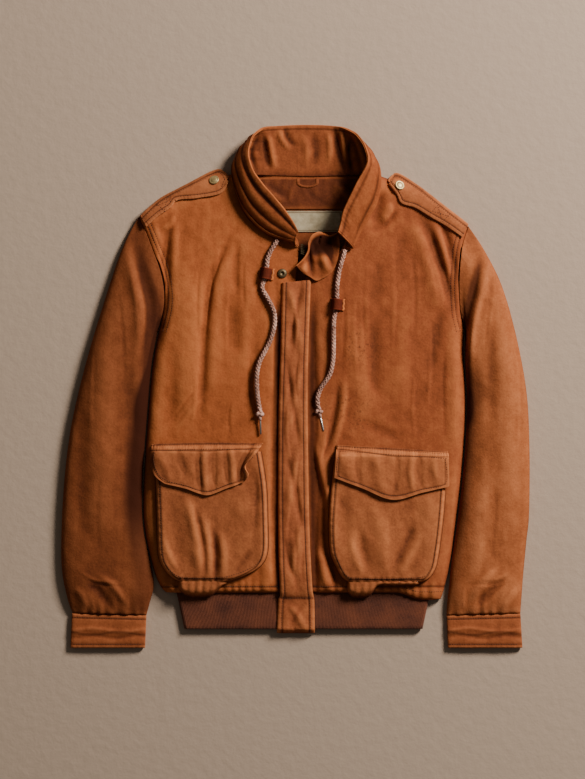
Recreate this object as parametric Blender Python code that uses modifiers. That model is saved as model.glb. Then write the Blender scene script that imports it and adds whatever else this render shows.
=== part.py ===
"""A worn leather flight jacket, laid flat on its back with the collar standing open.

The outlines are written in millimetres, seen from above, and turned to metres where a mesh is made.
X runs to the viewer's right, Y up to the collar, Z up from the surface that the jacket lies on.
The origin is the middle of the jacket's rectangle, on that surface.
"""
import math

import bpy
from mathutils import Vector
from mathutils.bvhtree import BVHTree

MM = 0.001

# Cloth walls and the space between pieces at a seam
LEATHER_WALL = 2.0
TRIM_WALL = 1.5
RIB_WALL = 2.2
SEAM_GAP = 0.3

# Levels above the surface
LINING_TOP = LEATHER_WALL
LOW_EDGE = LINING_TOP + 0.4
BODY_RISE = 11.5
RIB_HOLLOW = 4.8
RIB_TOP = 2 * RIB_WALL + RIB_HOLLOW
SLEEVE_RISE = 25.0
CUFF_RISE = 9.6
CUFF_SIDE = 5.0

# Heights up the body
HEM_Y = -308.0
RIB_TOP_Y = -299.5
RIB_BOTTOM_Y = -364.5
UNDERARM_Y = 85.0

# The visible outer line of the body from the hem corner up to the underarm
SIDE_LEFT = [(-188, -314), (-203, -300), (-215, -270), (-226, -220), (-229, -178), (-227, -120),
             (-222, -50), (-215, 30), (-205, 85)]
SIDE_RIGHT = [(214, -318), (224, -295), (233, -262), (242, -200), (249, -140), (254, -80),
              (256, -20), (253, 40), (253, 85)]
# Armhole seams, from the underarm up to the shoulder's end
ARMHOLE_LEFT = [(-205, 85), (-197, 118), (-197, 148), (-203, 176), (-213, 203), (-224, 231), (-235, 254)]
ARMHOLE_RIGHT = [(253, 85), (247, 112), (245, 152), (247, 190), (251, 215), (259, 240)]
# The seam between collar and body, from its left front end round the back to its right front end
NECK_LEFT = [(4, 209), (-9, 223), (-34, 234), (-57, 254), (-72, 278), (-82, 302), (-84, 311)]
NECK_BACK = [(-76, 314.5), (-58, 316.5), (-30, 316), (16, 315), (60, 315.5), (88, 316), (106, 313.5)]
NECK_RIGHT = [(115, 309), (118, 301), (113, 279), (102, 257), (89, 236), (79, 219), (75, 209)]
RING_MIDDLE = (16, 268)
NECK_LAP = 3.5
FLY_GAP = 2.0
SHOULDER_NECK_LEFT = (-90, 318)
SHOULDER_NECK_RIGHT = (122, 316)
SHOULDER_BULGE = 9.0

CORD_WIDTH = 7.0
CORD_SIDES = 2
CORD_STEP = 2.5 * CORD_WIDTH
SNAP_WIDTH = 15.0


def start_clean():
    for leftover in list(bpy.data.objects):
        bpy.data.objects.remove(leftover)


def new_collection(name):
    collection = bpy.data.collections.new(name)
    bpy.context.scene.collection.children.link(collection)
    return collection


def finish_of(name, colour, roughness, metallic=0.0):
    material = bpy.data.materials.new(name)
    material.use_nodes = True
    shader = material.node_tree.nodes["Principled BSDF"]
    shader.inputs["Base Color"].default_value = (*colour, 1.0)
    shader.inputs["Roughness"].default_value = roughness
    shader.inputs["Metallic"].default_value = metallic
    return material


class Line:
    """A smooth curve through a few points, read by the fraction of its length."""

    def __init__(self, points, steps=10):
        self.points = []
        last = len(points) - 1
        for k in range(last):
            before = Vector(points[max(k - 1, 0)])
            start = Vector(points[k])
            end = Vector(points[k + 1])
            after = Vector(points[min(k + 2, last)])
            for i in range(steps):
                t = i / steps
                self.points.append(
                    0.5 * (2 * start + (end - before) * t
                           + (2 * before - 5 * start + 4 * end - after) * t * t
                           + (3 * start - before - 3 * end + after) * t ** 3)
                )
        self.points.append(Vector(points[last]))
        self.reach = [0.0]
        for k in range(1, len(self.points)):
            self.reach.append(self.reach[-1] + (self.points[k] - self.points[k - 1]).length)
        self.length = self.reach[-1]

    def at(self, fraction):
        wanted = min(max(fraction, 0.0), 1.0) * self.length
        k = 1
        while k < len(self.reach) - 1 and self.reach[k] < wanted:
            k += 1
        span = self.reach[k] - self.reach[k - 1]
        t = 0.0 if span == 0 else (wanted - self.reach[k - 1]) / span
        return self.points[k - 1].lerp(self.points[k], t)

    def at_height(self, y):
        """The point where a line that runs up the body passes the height y."""
        for a, b in zip(self.points, self.points[1:]):
            if min(a.y, b.y) <= y <= max(a.y, b.y) and a.y != b.y:
                return a.lerp(b, (y - a.y) / (b.y - a.y))
        ends = (self.points[0], self.points[-1])
        return min(ends, key=lambda p: abs(p.y - y)).copy()


def blend(a, b, t):
    return a + (b - a) * t


def ease(t):
    t = min(max(t, 0.0), 1.0)
    return t * t * (3 - 2 * t)


def rounded(distance, radius):
    """How far up a rounded edge has risen, from 0 at the edge to 1 past its radius."""
    t = min(max(distance / radius, 0.0), 1.0)
    return math.sqrt(1 - (1 - t) ** 2)


def fold_height(x, y, folds):
    """Soft ridges and troughs: each is a stretch from one point to another, with a width and a height."""
    total = 0.0
    here = Vector((x, y))
    for x0, y0, x1, y1, width, height in folds:
        start = Vector((x0, y0))
        along = Vector((x1, y1)) - start
        t = min(max((here - start).dot(along) / along.length_squared, 0.0), 1.0)
        off = (here - start - along * t).length / width
        total += height * math.exp(-off * off)
    return total


def add_object(name, vertices, faces, material, wall, inward):
    mesh = bpy.data.meshes.new(name)
    mesh.from_pydata([(x * MM, y * MM, z * MM) for x, y, z in vertices], [], faces)
    mesh.materials.append(material)
    mesh.shade_smooth()
    piece = bpy.data.objects.new(name, mesh)
    jacket.objects.link(piece)
    solidify = piece.modifiers.new("wall", "SOLIDIFY")
    solidify.thickness = wall * MM
    solidify.offset = -1.0 if inward else 1.0
    return piece


def add_sheet(name, rows, material, wall, wraps=False, inward=False):
    """A surface through rows of points, given its wall. Faces look to the left of the way the rows run."""
    across = len(rows[0])
    vertices = [point for row in rows for point in row]
    faces = []
    for j in range(len(rows) - 1):
        for i in range(across if wraps else across - 1):
            a = j * across + i
            b = j * across + (i + 1) % across
            c = b + across
            d = a + across
            faces.append((a, b, c))
            faces.append((a, c, d))
    return add_object(name, vertices, faces, material, wall, inward)


def turned(name, profile, material, place, lean=None, steps=16):
    """A round piece from a profile of (radius, height) that runs from top to bottom."""
    mesh = bpy.data.meshes.new(name)
    mesh.from_pydata([(r * MM, 0, z * MM) for r, z in profile], [(k, k + 1) for k in range(len(profile) - 1)], [])
    mesh.materials.append(material)
    piece = bpy.data.objects.new(name, mesh)
    jacket.objects.link(piece)
    screw = piece.modifiers.new("turn", "SCREW")
    screw.steps = steps
    screw.render_steps = steps
    screw.use_merge_vertices = True
    screw.merge_threshold = 0.00001
    piece.location = Vector(place) * MM
    if lean:
        piece.rotation_mode = "QUATERNION"
        piece.rotation_quaternion = Vector((0, 0, 1)).rotation_difference(Vector(lean))


class Below:
    """What lies under a piece: the highest point of some finished pieces near a place."""

    def __init__(self, names):
        bpy.context.view_layer.update()
        graph = bpy.context.evaluated_depsgraph_get()
        self.trees = []
        for name in names:
            seen = bpy.data.objects[name].evaluated_get(graph)
            mesh = seen.to_mesh()
            mesh.transform(seen.matrix_world)
            vertices = [v.co.copy() for v in mesh.vertices]
            faces = [tuple(p.vertices) for p in mesh.polygons]
            self.trees.append(BVHTree.FromPolygons(vertices, faces))
            seen.to_mesh_clear()

    def top(self, x, y, reach=0.0):
        spots = [(x, y)]
        for k in range(16 if reach else 0):
            turn = k * math.pi / 4
            away = reach * (0.5 if k < 8 else 1.0)
            spots.append((x + away * math.cos(turn), y + away * math.sin(turn)))
        highest = 0.0
        for px, py in spots:
            for tree in self.trees:
                hit = tree.ray_cast(Vector((px * MM, py * MM, 0.3)), Vector((0, 0, -1)))[0]
                if hit:
                    highest = max(highest, hit.z / MM)
        return highest

    def lay(self, rows, reach, relax=1, clear=SEAM_GAP):
        """Lays rows of (x, y, lift) on what is below, and bridges its small hollows."""
        levels = [[self.top(x, y, reach) + clear for x, y, lift in row] for row in rows]
        for turn in range(relax):
            smooth = [row[:] for row in levels]
            for j, row in enumerate(levels):
                for i, level in enumerate(row):
                    near = [levels[b][a] for b, a in ((j - 1, i), (j + 1, i), (j, i - 1), (j, i + 1))
                            if 0 <= b < len(levels) and 0 <= a < len(row)]
                    smooth[j][i] = max(level, sum(near) / len(near))
            levels = smooth
        return [[(x, y, level + lift) for (x, y, lift), level in zip(row, line)]
                for row, line in zip(rows, levels)]


def pulled_in(points, middle, amount):
    """Points moved towards a middle by an amount."""
    moved = []
    for x, y in points:
        way = Vector(middle) - Vector((x, y))
        moved.append(tuple(Vector((x, y)) + way.normalized() * amount))
    return moved


def armhole_level(fraction):
    """The lining side of the body along an armhole, from the underarm at 0 to the shoulder's end at 1."""
    rise = math.sin(math.pi * min(fraction * 0.62 + 0.06, 1.0)) ** 0.8
    fall = 1 - 0.75 * ease((fraction - 0.72) / 0.28)
    return LOW_EDGE + BODY_RISE * rise * fall * ease(fraction / 0.12 + 0.1)


FRONT_COLUMNS = [0, 0.008, 0.026, 0.058, 0.11] + [0.11 + 0.89 * k / 12 for k in range(1, 13)]
LOWER_ROWS = [0, 0.006, 0.02, 0.045] + [0.045 + 0.955 * k / 18 for k in range(1, 19)]
UPPER_ROWS = 13
SIDE_RADIUS = 17.0
ARMHOLE_INSET = 1.3
SHOULDER_RADIUS = 20.0
HEM_RADIUS = 9.0


def front_rows(side, armhole, centre_x, neck, shoulder_neck, base_of, folds):
    """The lining side of a front: straight rows from the side or armhole to the centre or the neckline."""
    side_line = Line(side)
    armhole_line = Line(armhole)
    upper_inner = Line([(centre_x, UNDERARM_Y), (centre_x, 0.5 * (UNDERARM_Y + neck[0][1]))] + neck
                       + [shoulder_neck])
    outwards = math.copysign(1.0, side[0][0])
    places = [(v, None) for v in LOWER_ROWS] + [(None, k / UPPER_ROWS) for k in range(1, UPPER_ROWS + 1)]
    rows = []
    for low, high in places:
        if high is None:
            y = blend(HEM_Y, UNDERARM_Y, low)
            outer = side_line.at_height(y)
            outer.x -= outwards * LEATHER_WALL
            inner = Vector((centre_x, y))
            edge = LOW_EDGE
        else:
            outer = armhole_line.at(high)
            outer.x -= outwards * blend(LEATHER_WALL, ARMHOLE_INSET, ease(high / 0.25))
            inner = upper_inner.at(high)
            edge = armhole_level(high)
        row = []
        for u in FRONT_COLUMNS:
            place = outer.lerp(inner, u)
            if high:
                place.y += SHOULDER_BULGE * high ** 4 * math.sin(math.pi * u)
            elif low < 0.1:
                corner = ease((abs(place.x) - 150) / 40) if outwards > 0 else 0.0
                place.y -= 11 * corner * (1 - low / 0.1)
            width = (inner - outer).length
            level = base_of(place.x, place.y) + fold_height(place.x, place.y, folds)
            level = blend(edge, level, rounded(u * width, SIDE_RADIUS))
            if high is None:
                foot = blend(LOW_EDGE, RIB_TOP + 2 * SEAM_GAP, rounded(u * width, HEM_RADIUS))
                level = blend(foot, max(level, foot), rounded(low * (UNDERARM_Y - HEM_Y), HEM_RADIUS))
            else:
                down = (1 - high) * 0.9 * (shoulder_neck[1] - UNDERARM_Y)
                level = blend(LOW_EDGE, level, rounded(down, SHOULDER_RADIUS))
            row.append((place.x, place.y, level))
        rows.append(row)
    if outwards > 0:
        rows = [row[::-1] for row in rows]
    return rows


LEFT_FOLDS = [
    (-165, 170, -162, -40, 26, 4.0), (-124, 190, -139, 60, 10, -3.5), (-139, 60, -143, -40, 9, -3.5),
    (-108, 170, -112, 20, 13, 2.5), (-88, 205, -88, 135, 8, -2.5), (-70, 85, -76, 0, 12, 2.0),
    (-95, 78, -50, 97, 13, 2.5), (-190, 235, -197, 150, 9, -4.5), (-207, 240, -213, 208, 8, 2.0),
    (-184, 250, -176, 215, 8, 3.0), (-28, 110, -29, -290, 9, -4.5), (-42, 40, -41, -290, 9, 3.5),
    (-158, -15, -166, -80, 8, 2.0), (-147, 10, -147, -70, 7, -2.0),
]
RIGHT_FOLDS = [
    (190, 252, 224, 190, 9, -4.5), (224, 190, 240, 135, 8, -3.5), (212, 244, 231, 190, 7, 3.0),
    (182, 235, 213, 175, 13, 3.5), (148, 272, 142, 246, 9, 2.5), (130, 286, 120, 250, 8, -2.5),
    (118, 125, 118, 25, 10, -2.5), (152, 90, 152, 10, 8, -1.5), (196, 60, 192, -20, 9, -2.5),
    (85, 85, 88, -50, 17, 3.0), (170, 70, 172, -50, 14, 2.5), (36, 120, 32, -290, 9, -4.5),
    (60, -10, 50, -75, 8, 2.5), (44, -60, 36, -105, 7, 2.5), (48, -160, 47, -270, 6, -2.5),
    (105, -62, 155, -76, 9, -2.0), (232, 90, 236, -60, 10, 2.5),
]


def body_base(x, y):
    """The general swell of a front between its folds."""
    chest = 2.5 * math.exp(-(((abs(x) - 120) / 90) ** 2) - ((y - 110) / 120) ** 2)
    blouse = 3.0 * math.exp(-((y + 270) / 55) ** 2)
    centre = -3.0 * math.exp(-(x / 24) ** 2)
    return BODY_RISE + 1.5 + chest + blouse + centre


def make_back(material):
    """The back lies flat, lining up, from the hem to the collar seam."""
    inset = 0.6
    left = [tuple(p) for p in (Line(SIDE_LEFT).at(k / 9) for k in range(10))]
    arm_left = [tuple(p) for p in (Line(ARMHOLE_LEFT).at(k / 6) for k in range(1, 7))]
    back = [SHOULDER_NECK_LEFT] + pulled_in(NECK_BACK, RING_MIDDLE, inset) + [SHOULDER_NECK_RIGHT]
    arm_right = [tuple(p) for p in (Line(ARMHOLE_RIGHT).at(k / 6) for k in range(6, 0, -1))]
    right = [tuple(p) for p in (Line(SIDE_RIGHT).at(k / 9) for k in range(9, -1, -1))]
    outline = [(x + inset, y) for x, y in left + arm_left] + back + [(x - inset, y) for x, y in arm_right + right]
    outline = [(x, max(y, RIB_TOP_Y + 0.4)) for x, y in outline]
    flat_piece("back_panel", outline, 0.0, LEATHER_WALL, material)


def flat_piece(name, outline, bottom, wall, material):
    """A flat piece cut from an outline that runs round it once."""
    curve = bpy.data.curves.new(name, "CURVE")
    curve.dimensions = "2D"
    curve.fill_mode = "BOTH"
    curve.extrude = 0.5 * wall * MM
    spline = curve.splines.new("POLY")
    clean = []
    for x, y in outline:
        if not clean or (Vector((x, y)) - Vector(clean[-1])).length > 0.5:
            clean.append((x, y))
    spline.points.add(len(clean) - 1)
    for point, (x, y) in zip(spline.points, clean):
        point.co = (x * MM, y * MM, 0, 1)
    spline.use_cyclic_u = True
    curve.materials.append(material)
    piece = bpy.data.objects.new(name, curve)
    piece.location.z = (bottom + 0.5 * wall) * MM
    jacket.objects.link(piece)


def make_fronts(material):
    neck_left = pulled_in(NECK_LEFT, RING_MIDDLE, NECK_LAP)
    rows = front_rows(SIDE_LEFT, ARMHOLE_LEFT, -0.5 * FLY_GAP, neck_left, SHOULDER_NECK_LEFT, body_base, LEFT_FOLDS)
    add_sheet("front_left", rows, material, LEATHER_WALL)
    neck_right = [(12, 158), (38, 176), (60, 193)] + pulled_in(NECK_RIGHT[::-1], RING_MIDDLE, NECK_LAP)
    rows = front_rows(SIDE_RIGHT, ARMHOLE_RIGHT, 0.5 * FLY_GAP, neck_right, SHOULDER_NECK_RIGHT, body_base, RIGHT_FOLDS)
    add_sheet("front_right", rows, material, LEATHER_WALL)


SLEEVE_TOP_CUTS = 12
SLEEVE_UNDER_CUTS = (0.96, 0.8, 0.5, 0.2, 0.04)
SLEEVE_ROWS = [0, 0.03, 0.07, 0.12] + [0.12 + 0.8 * k / 15 for k in range(1, 16)] + [0.955, 0.98, 1.0]
SLEEVE_GAP = 1.6
UNDERARM_FAN = 5.0

SLEEVE_OUTER_LEFT = [(-235.5, 254), (-262, 202), (-296, 99), (-319, 19), (-337, -60), (-347, -138),
                     (-351.5, -217), (-351, -275), (-343, -317), (-335, -341)]
SLEEVE_OUTER_RIGHT = [(260, 240), (284, 204), (310, 151), (331, 78), (347, -8), (351.5, -92),
                      (351, -190), (347, -232), (342, -285), (338, -341)]
SLEEVE_INNER_END_LEFT = [(-213, -300), (-219, -325), (-224, -344)]
SLEEVE_INNER_END_RIGHT = [(231, -300), (228, -325), (227, -344)]


def sleeve_height(across, along, folds, x, y, swell):
    """The outer face of a sleeve's upper side, away from its two ends."""
    body = SLEEVE_RISE * swell(along)
    dome = (1 - abs(2 * across - 1) ** 2.6) ** (1 / 2.6)
    return CUFF_SIDE + (body - CUFF_SIDE + fold_height(x, y, folds)) * dome


def sleeve_swell(along):
    full = 0.75 + 0.25 * math.sin(math.pi * min(along * 0.9 + 0.1, 1.0))
    return blend(0.40, full, rounded(1.0 - along, 0.11))


def sleeve_rows(outer, side, inner_end, armhole, folds):
    outwards = math.copysign(1.0, outer[0][0])
    outer_line = Line(outer)
    body_side = [(x + outwards * SLEEVE_GAP, y) for x, y in side[:1:-1]]
    inner_line = Line(body_side + inner_end)
    arm = Line(armhole)
    first_outer = outer_line.at(0)
    first_inner = inner_line.at(0)
    cuts = [(0.5 - 0.5 * math.cos(math.pi * k / SLEEVE_TOP_CUTS), True) for k in range(SLEEVE_TOP_CUTS + 1)]
    cuts += [(w, False) for w in SLEEVE_UNDER_CUTS]
    rows = []
    for along in SLEEVE_ROWS:
        a = outer_line.at(along)
        b = inner_line.at(along)
        row = []
        for w, above in cuts:
            place = a.lerp(b, w)
            seam = arm.at(1 - w) - first_outer.lerp(first_inner, w)
            seam.x += outwards * blend(0.8, SLEEVE_GAP, w ** 8)
            place += seam * (1 - ease(along / 0.4))
            fan = ease(along / SLEEVE_ROWS[1]) * (1 - ease(along / 0.35))
            place.x += outwards * UNDERARM_FAN * fan * math.sin(math.pi * w ** 4)
            if above:
                seam_level = armhole_level(1 - w) + LEATHER_WALL
                dome = sleeve_height(w, along, folds, place.x, place.y, sleeve_swell)
                z = blend(seam_level, dome, ease(along / 0.13))
                z = max(z, CUFF_SIDE)
            else:
                z = 0.0
            row.append((place.x, place.y, z))
        rows.append(row)
    if outwards < 0:
        rows = [row[::-1] for row in rows]
    return rows


SLEEVE_LEFT_FOLDS = [
    (-240, 215, -225, 130, 8, -5.0), (-262, 180, -240, 60, 12, 4.0), (-290, 60, -262, -120, 16, 4.0),
    (-262, 90, -245, -60, 10, -4.0), (-310, -20, -290, -250, 14, -3.0), (-262, -140, -262, -300, 12, 3.5),
    (-240, -60, -240, -250, 10, -3.0), (-325, -120, -322, -290, 12, 3.0), (-300, -310, -285, -335, 7, -3.0),
    (-262, -305, -255, -335, 7, -3.0),
]
SLEEVE_RIGHT_FOLDS = [
    (282, 196, 274, 130, 6, 5.0), (274, 130, 263, 70, 6, 5.0), (290, 150, 296, 40, 14, -4.5),
    (312, 100, 324, -80, 14, 3.5), (276, 40, 280, -140, 12, -4.0), (300, -40, 306, -240, 13, -2.5),
    (272, -150, 262, -290, 12, 3.5), (330, -150, 325, -290, 10, 3.0), (300, -300, 296, -335, 7, -3.0),
    (262, -305, 258, -335, 7, -3.0),
]


def make_sleeves(material):
    rows = sleeve_rows(SLEEVE_OUTER_LEFT, SIDE_LEFT, SLEEVE_INNER_END_LEFT, ARMHOLE_LEFT, SLEEVE_LEFT_FOLDS)
    add_sheet("sleeve_left", rows, material, LEATHER_WALL, wraps=True, inward=True)
    rows = sleeve_rows(SLEEVE_OUTER_RIGHT, SIDE_RIGHT, SLEEVE_INNER_END_RIGHT, ARMHOLE_RIGHT, SLEEVE_RIGHT_FOLDS)
    add_sheet("sleeve_right", rows, material, LEATHER_WALL, wraps=True, inward=True)


def make_cuff(name, top_outer, top_inner, bottom_outer, bottom_inner, material):
    """A straight band, lying flat, with its seam end next to the sleeve."""
    cuts = [(0.5 - 0.5 * math.cos(math.pi * k / 10), True) for k in range(11)]
    cuts += [(w, False) for w in (0.97, 0.03)]
    rows = []
    for along in (0.0, 0.25, 0.6, 1.0):
        a = Vector(top_outer).lerp(Vector(bottom_outer), along)
        b = Vector(top_inner).lerp(Vector(bottom_inner), along)
        row = []
        for w, above in cuts:
            place = a.lerp(b, w)
            dome = (1 - abs(2 * w - 1) ** 4) ** 0.25
            z = CUFF_SIDE + (CUFF_RISE - CUFF_SIDE + 0.8 * math.sin(math.pi * along)) * dome if above else 0.0
            row.append((place.x, place.y, z))
        rows.append(row)
    if top_outer[0] < 0:
        rows = [row[::-1] for row in rows]
    add_sheet(name, rows, material, TRIM_WALL, wraps=True, inward=True)


RIB_END_GAP = 0.8
RIB_SIDES = ((RIB_BOTTOM_Y, -167.0, 191.0), (RIB_TOP_Y, -181.0, 205.0))


def make_rib(material):
    """The rib-knit waistband goes all round, with its two ends side by side under the placket."""
    half = 0.5 * RIB_TOP
    turns = [math.pi * k / 6 for k in range(7)]
    rows = []
    for y, left, right in RIB_SIDES:
        left_turn = [(left + half - half * math.sin(a), half + half * math.cos(a)) for a in turns]
        right_turn = [(right - half + half * math.sin(a), half - half * math.cos(a)) for a in turns]
        ring = [(-0.5 * RIB_END_GAP, RIB_TOP)] + left_turn + right_turn + [(0.5 * RIB_END_GAP, RIB_TOP)]
        rows.append([(x, y, z) for x, z in ring[::-1]])
    add_sheet("rib_hem", rows, material, RIB_WALL, inward=True)


def collar_stations():
    """Seam, roll and top edge of the collar, from its left front end round the back to its right one."""
    return [
        ((4, 209, 0), (0, 217, 24), (4, 231, 30)),
        ((-9, 223, 0), (-15, 221, 24), (-2, 243, 35)),
        ((-34, 234, 0), (-41, 231, 24), (-17, 265, 40)),
        ((-57, 254, 0), (-64, 251, 25), (-34, 285, 43)),
        ((-72, 278, 0), (-80, 275, 26), (-48, 301, 44)),
        ((-82, 302, 0), (-91, 308, 25), (-63, 322, 43)),
        ((-84, 311, 0), (-93, 332, 19), (-70, 347, 38)),
        ((-76, 315, 0), (-80, 356, 10), (-64, 371, 28)),
        ((-58, 317, 0), (-57, 358, 3.5), (-49, 387, 13)),
        ((-30, 316.5, 0), (-28, 354, 1.7), (-25, 391.5, 3.5)),
        ((16, 315.5, 0), (16, 353, 1.7), (16, 393, 2.2)),
        ((60, 316, 0), (58, 353, 1.7), (55, 391.5, 3.5)),
        ((88, 316.5, 0), (83, 355, 3.5), (77, 386, 14)),
        ((106, 314, 0), (103, 353, 11), (94, 373, 28)),
        ((115, 310, 0), (120, 338, 20), (105, 351, 39)),
        ((118, 301, 0), (127, 315, 26), (106, 331, 45)),
        ((113, 279, 0), (121, 278, 27), (92, 305, 44)),
        ((102, 257, 0), (108, 254, 26), (80, 281, 42)),
        ((89, 236, 0), (96, 232, 24), (71, 261, 38)),
        ((79, 219, 0), (89, 216, 23.5), (67, 243, 36)),
        ((75, 209, 0), (85, 208, 23.5), (63, 230, 37)),
    ]


COLLAR_CUTS = 38
COLLAR_RISES = 7
COLLAR_ROLLS = 2.2
LAYER_SHIFT = 0.2
COLLAR_FLOOR = TRIM_WALL + LAYER_SHIFT


def collar_rows(below):
    """The surface halfway through the collar, from its seam to its top edge."""
    stations = collar_stations()
    seam = []
    for (x, y, z), roll, top in stations:
        ground = below.top(x, y, 5.0)
        seam.append((x, y, max(ground + 1.9, COLLAR_FLOOR)))
    seam[9:12] = [(x, y, COLLAR_FLOOR) for x, y, z in seam[9:12]]
    seam_line = [Vector(p) for p in seam]
    roll_line = [Vector(roll) for start, roll, top in stations]
    top_line = [Vector(top) for start, roll, top in stations]

    def through(points, t):
        k = min(int(t), len(points) - 2)
        f = t - k
        before = points[max(k - 1, 0)]
        after = points[min(k + 2, len(points) - 1)]
        start = points[k]
        end = points[k + 1]
        return 0.5 * (2 * start + (end - before) * f + (2 * before - 5 * start + 4 * end - after) * f * f
                      + (3 * start - before - 3 * end + after) * f ** 3)

    rows = []
    for j in range(COLLAR_RISES + 1):
        s = j / COLLAR_RISES
        row = []
        for i in range(COLLAR_CUTS + 1):
            t = (len(stations) - 1) * i / COLLAR_CUTS
            a = through(seam_line, t)
            b = through(roll_line, t)
            c = through(top_line, t)
            bend = 2 * b - 0.5 * (a + c)
            place = a * (1 - s) ** 2 + bend * 2 * s * (1 - s) + c * s * s
            place = blend(place, a.lerp(b, 2 * s) if s < 0.5 else b.lerp(c, 2 * s - 1), 0.12)
            standing = ease((c.z - 20) / 15) * ease(min(t, len(stations) - 1 - t) / 3)
            place.z += COLLAR_ROLLS * standing * math.sin(3 * math.pi * s) * (1 - s)
            place.z = max(place.z, COLLAR_FLOOR)
            row.append(tuple(place))
        rows.append(row)
    return rows


def make_collar(outer_material, inner_material, below):
    """Two layers of leather, either side of their middle."""
    rows = collar_rows(below)
    outside = add_sheet("collar_outer", rows, outer_material, TRIM_WALL, inward=True)
    inside = add_sheet("collar_inner", rows, inner_material, TRIM_WALL)
    for piece, way in ((outside, -1), (inside, 1)):
        mesh = piece.data
        moved = [v.co + v.normal * way * LAYER_SHIFT * MM for v in mesh.vertices]
        for vertex, place in zip(mesh.vertices, moved):
            vertex.co = place


FACING = [(-74, 311), (-60, 314.5), (16, 313), (88, 314), (104, 311.5), (112, 300), (106, 266), (16, 265),
          (-62, 266), (-77, 300)]
LABEL = [(-14, 263.5), (70, 263.5), (70, 232), (-14, 232)]


def make_neck(leather, weave):
    """The half-moon facing inside the back neck, the woven label under it and the hanger loop on it."""
    flat_piece("neck_facing", FACING[::-1], LINING_TOP + SEAM_GAP, TRIM_WALL, leather)
    flat_piece("label", LABEL[::-1], LINING_TOP + SEAM_GAP, 0.8, weave)
    outside = []
    inside = []
    width = 5.0
    for k in range(13):
        turn = math.pi * k / 12
        outside.append((18 - 17 * math.cos(turn), 306 - 8 * math.sin(turn)))
        inside.append((18 - (17 - width) * math.cos(turn), 306 - (8 - width * 0.7) * math.sin(turn)))
    outline = [(1, 312.5)] + outside + [(35, 312.5), (35 - width, 312.5)] + inside[::-1] + [(1 + width, 312.5)]
    flat_piece("hanger_loop", outline, LINING_TOP + TRIM_WALL + 2 * SEAM_GAP, TRIM_WALL, leather)


def make_placket(below, material):
    """The long fly strip over the zip, down to its lower end across the rib knit."""
    left = Line([(-19, 153), (-21, 60), (-24, -40), (-25, -160), (-24, -250), (-22, -310), (-25, -322), (-27, -370)])
    right = Line([(22, 158), (19, 80), (17, 0), (18, -120), (20, -220), (24, -300), (27, -322), (28, -368)])
    folds = [(5, 120, -2, -20, 6, 1.6), (8, -60, -8, -180, 6, 1.8), (-12, 90, -10, -100, 4, -0.8),
             (10, -190, 0, -290, 5, 1.5)]
    rows = []
    count = 34
    for j in range(count + 1):
        y = blend(-369, 154, j / count)
        a = left.at_height(y)
        b = right.at_height(y)
        row = []
        for w in (0, 0.08, 0.3, 0.5, 0.7, 0.92, 1):
            place = a.lerp(b, w)
            puff = 1.6 * rounded(min(w, 1 - w) * 44, 8)
            row.append((place.x, y, 0.3 + puff + max(fold_height(place.x, y, folds), -puff)))
        rows.append(row)
    add_sheet("placket", below.lay(rows, 8.0, relax=2), material, TRIM_WALL)


def pocket_rows(left, right, lobe, folds):
    """A bag with bellows: its face stands off the front and its edges come down to it."""
    left_line = Line(left)
    right_line = Line(right)
    top = max(left[0][1], right[0][1])
    bottom = min(left[-1][1], right[-1][1])
    rows = []
    downs = [0.0] + [k / 10 for k in range(1, 9)] + [0.87, 0.93, 0.975, 1.0]
    acrosses = [0, 0.02, 0.055] + [0.055 + 0.89 * k / 9 for k in range(1, 10)] + [0.98, 1.0]
    for down in downs:
        y = blend(top, bottom, down)
        a = left_line.at_height(y)
        b = right_line.at_height(y)
        row = []
        for w in acrosses:
            place = a.lerp(b, w)
            edge = min(w, 1 - w) * (b - a).length
            foot = (1 - down) * (top - bottom) + 3
            lift = 9.0 * rounded(edge, 8.0) * rounded(foot, 10.0)
            lift += fold_height(place.x, place.y, folds) * rounded(edge, 25.0)
            row.append((place.x, place.y, max(lift, 0.0) + 0.2))
        rows.append(row)
    last = rows[-1]
    x0, half_width, drop = lobe
    for step, share in ((0.35, 0.95), (0.75, 0.85), (1.0, 0.0)):
        row = []
        for k, (x, y, lift) in enumerate(last):
            hang = 4 + drop * math.exp(-((x - x0) / half_width) ** 4)
            end = min(k, len(last) - 1 - k) / 2
            row.append((x, y - hang * step, 0.2 + 7.5 * share * rounded(min(end, 1.0), 1.0)))
        rows.append(row)
    return rows[::-1]


POCKET_LEFT_EDGE = [(-211, -98), (-209, -150), (-207, -205), (-205, -252), (-197, -272), (-186, -284), (-174, -291)]
POCKET_LEFT_INNER = [(-52, -98), (-44, -150), (-42, -200), (-42, -246), (-52, -268), (-75, -282), (-104, -291)]
POCKET_RIGHT_INNER = [(60, -104), (54, -150), (50, -205), (52, -246), (60, -268), (69, -284), (79, -292)]
POCKET_RIGHT_EDGE = [(226, -104), (224, -160), (219, -215), (212, -262), (205, -280), (196, -289), (184, -292)]
POCKET_LEFT_FOLDS = [
    (-160, -165, -148, -210, 9, 3.0), (-148, -210, -147, -280, 9, 3.0), (-133, -190, -133, -280, 8, -3.5),
    (-118, -215, -116, -285, 8, 3.0), (-185, -200, -176, -285, 10, -2.0), (-90, -180, -88, -270, 22, 1.5),
]
POCKET_RIGHT_FOLDS = [
    (108, -170, 108, -260, 12, 2.5), (130, -175, 136, -250, 9, -2.0), (150, -225, 140, -275, 8, 2.0),
    (178, -160, 182, -220, 8, -2.5), (178, -225, 160, -265, 7, 2.5), (200, -170, 196, -270, 12, 2.0),
    (75, -180, 75, -270, 12, -1.5),
]


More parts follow.
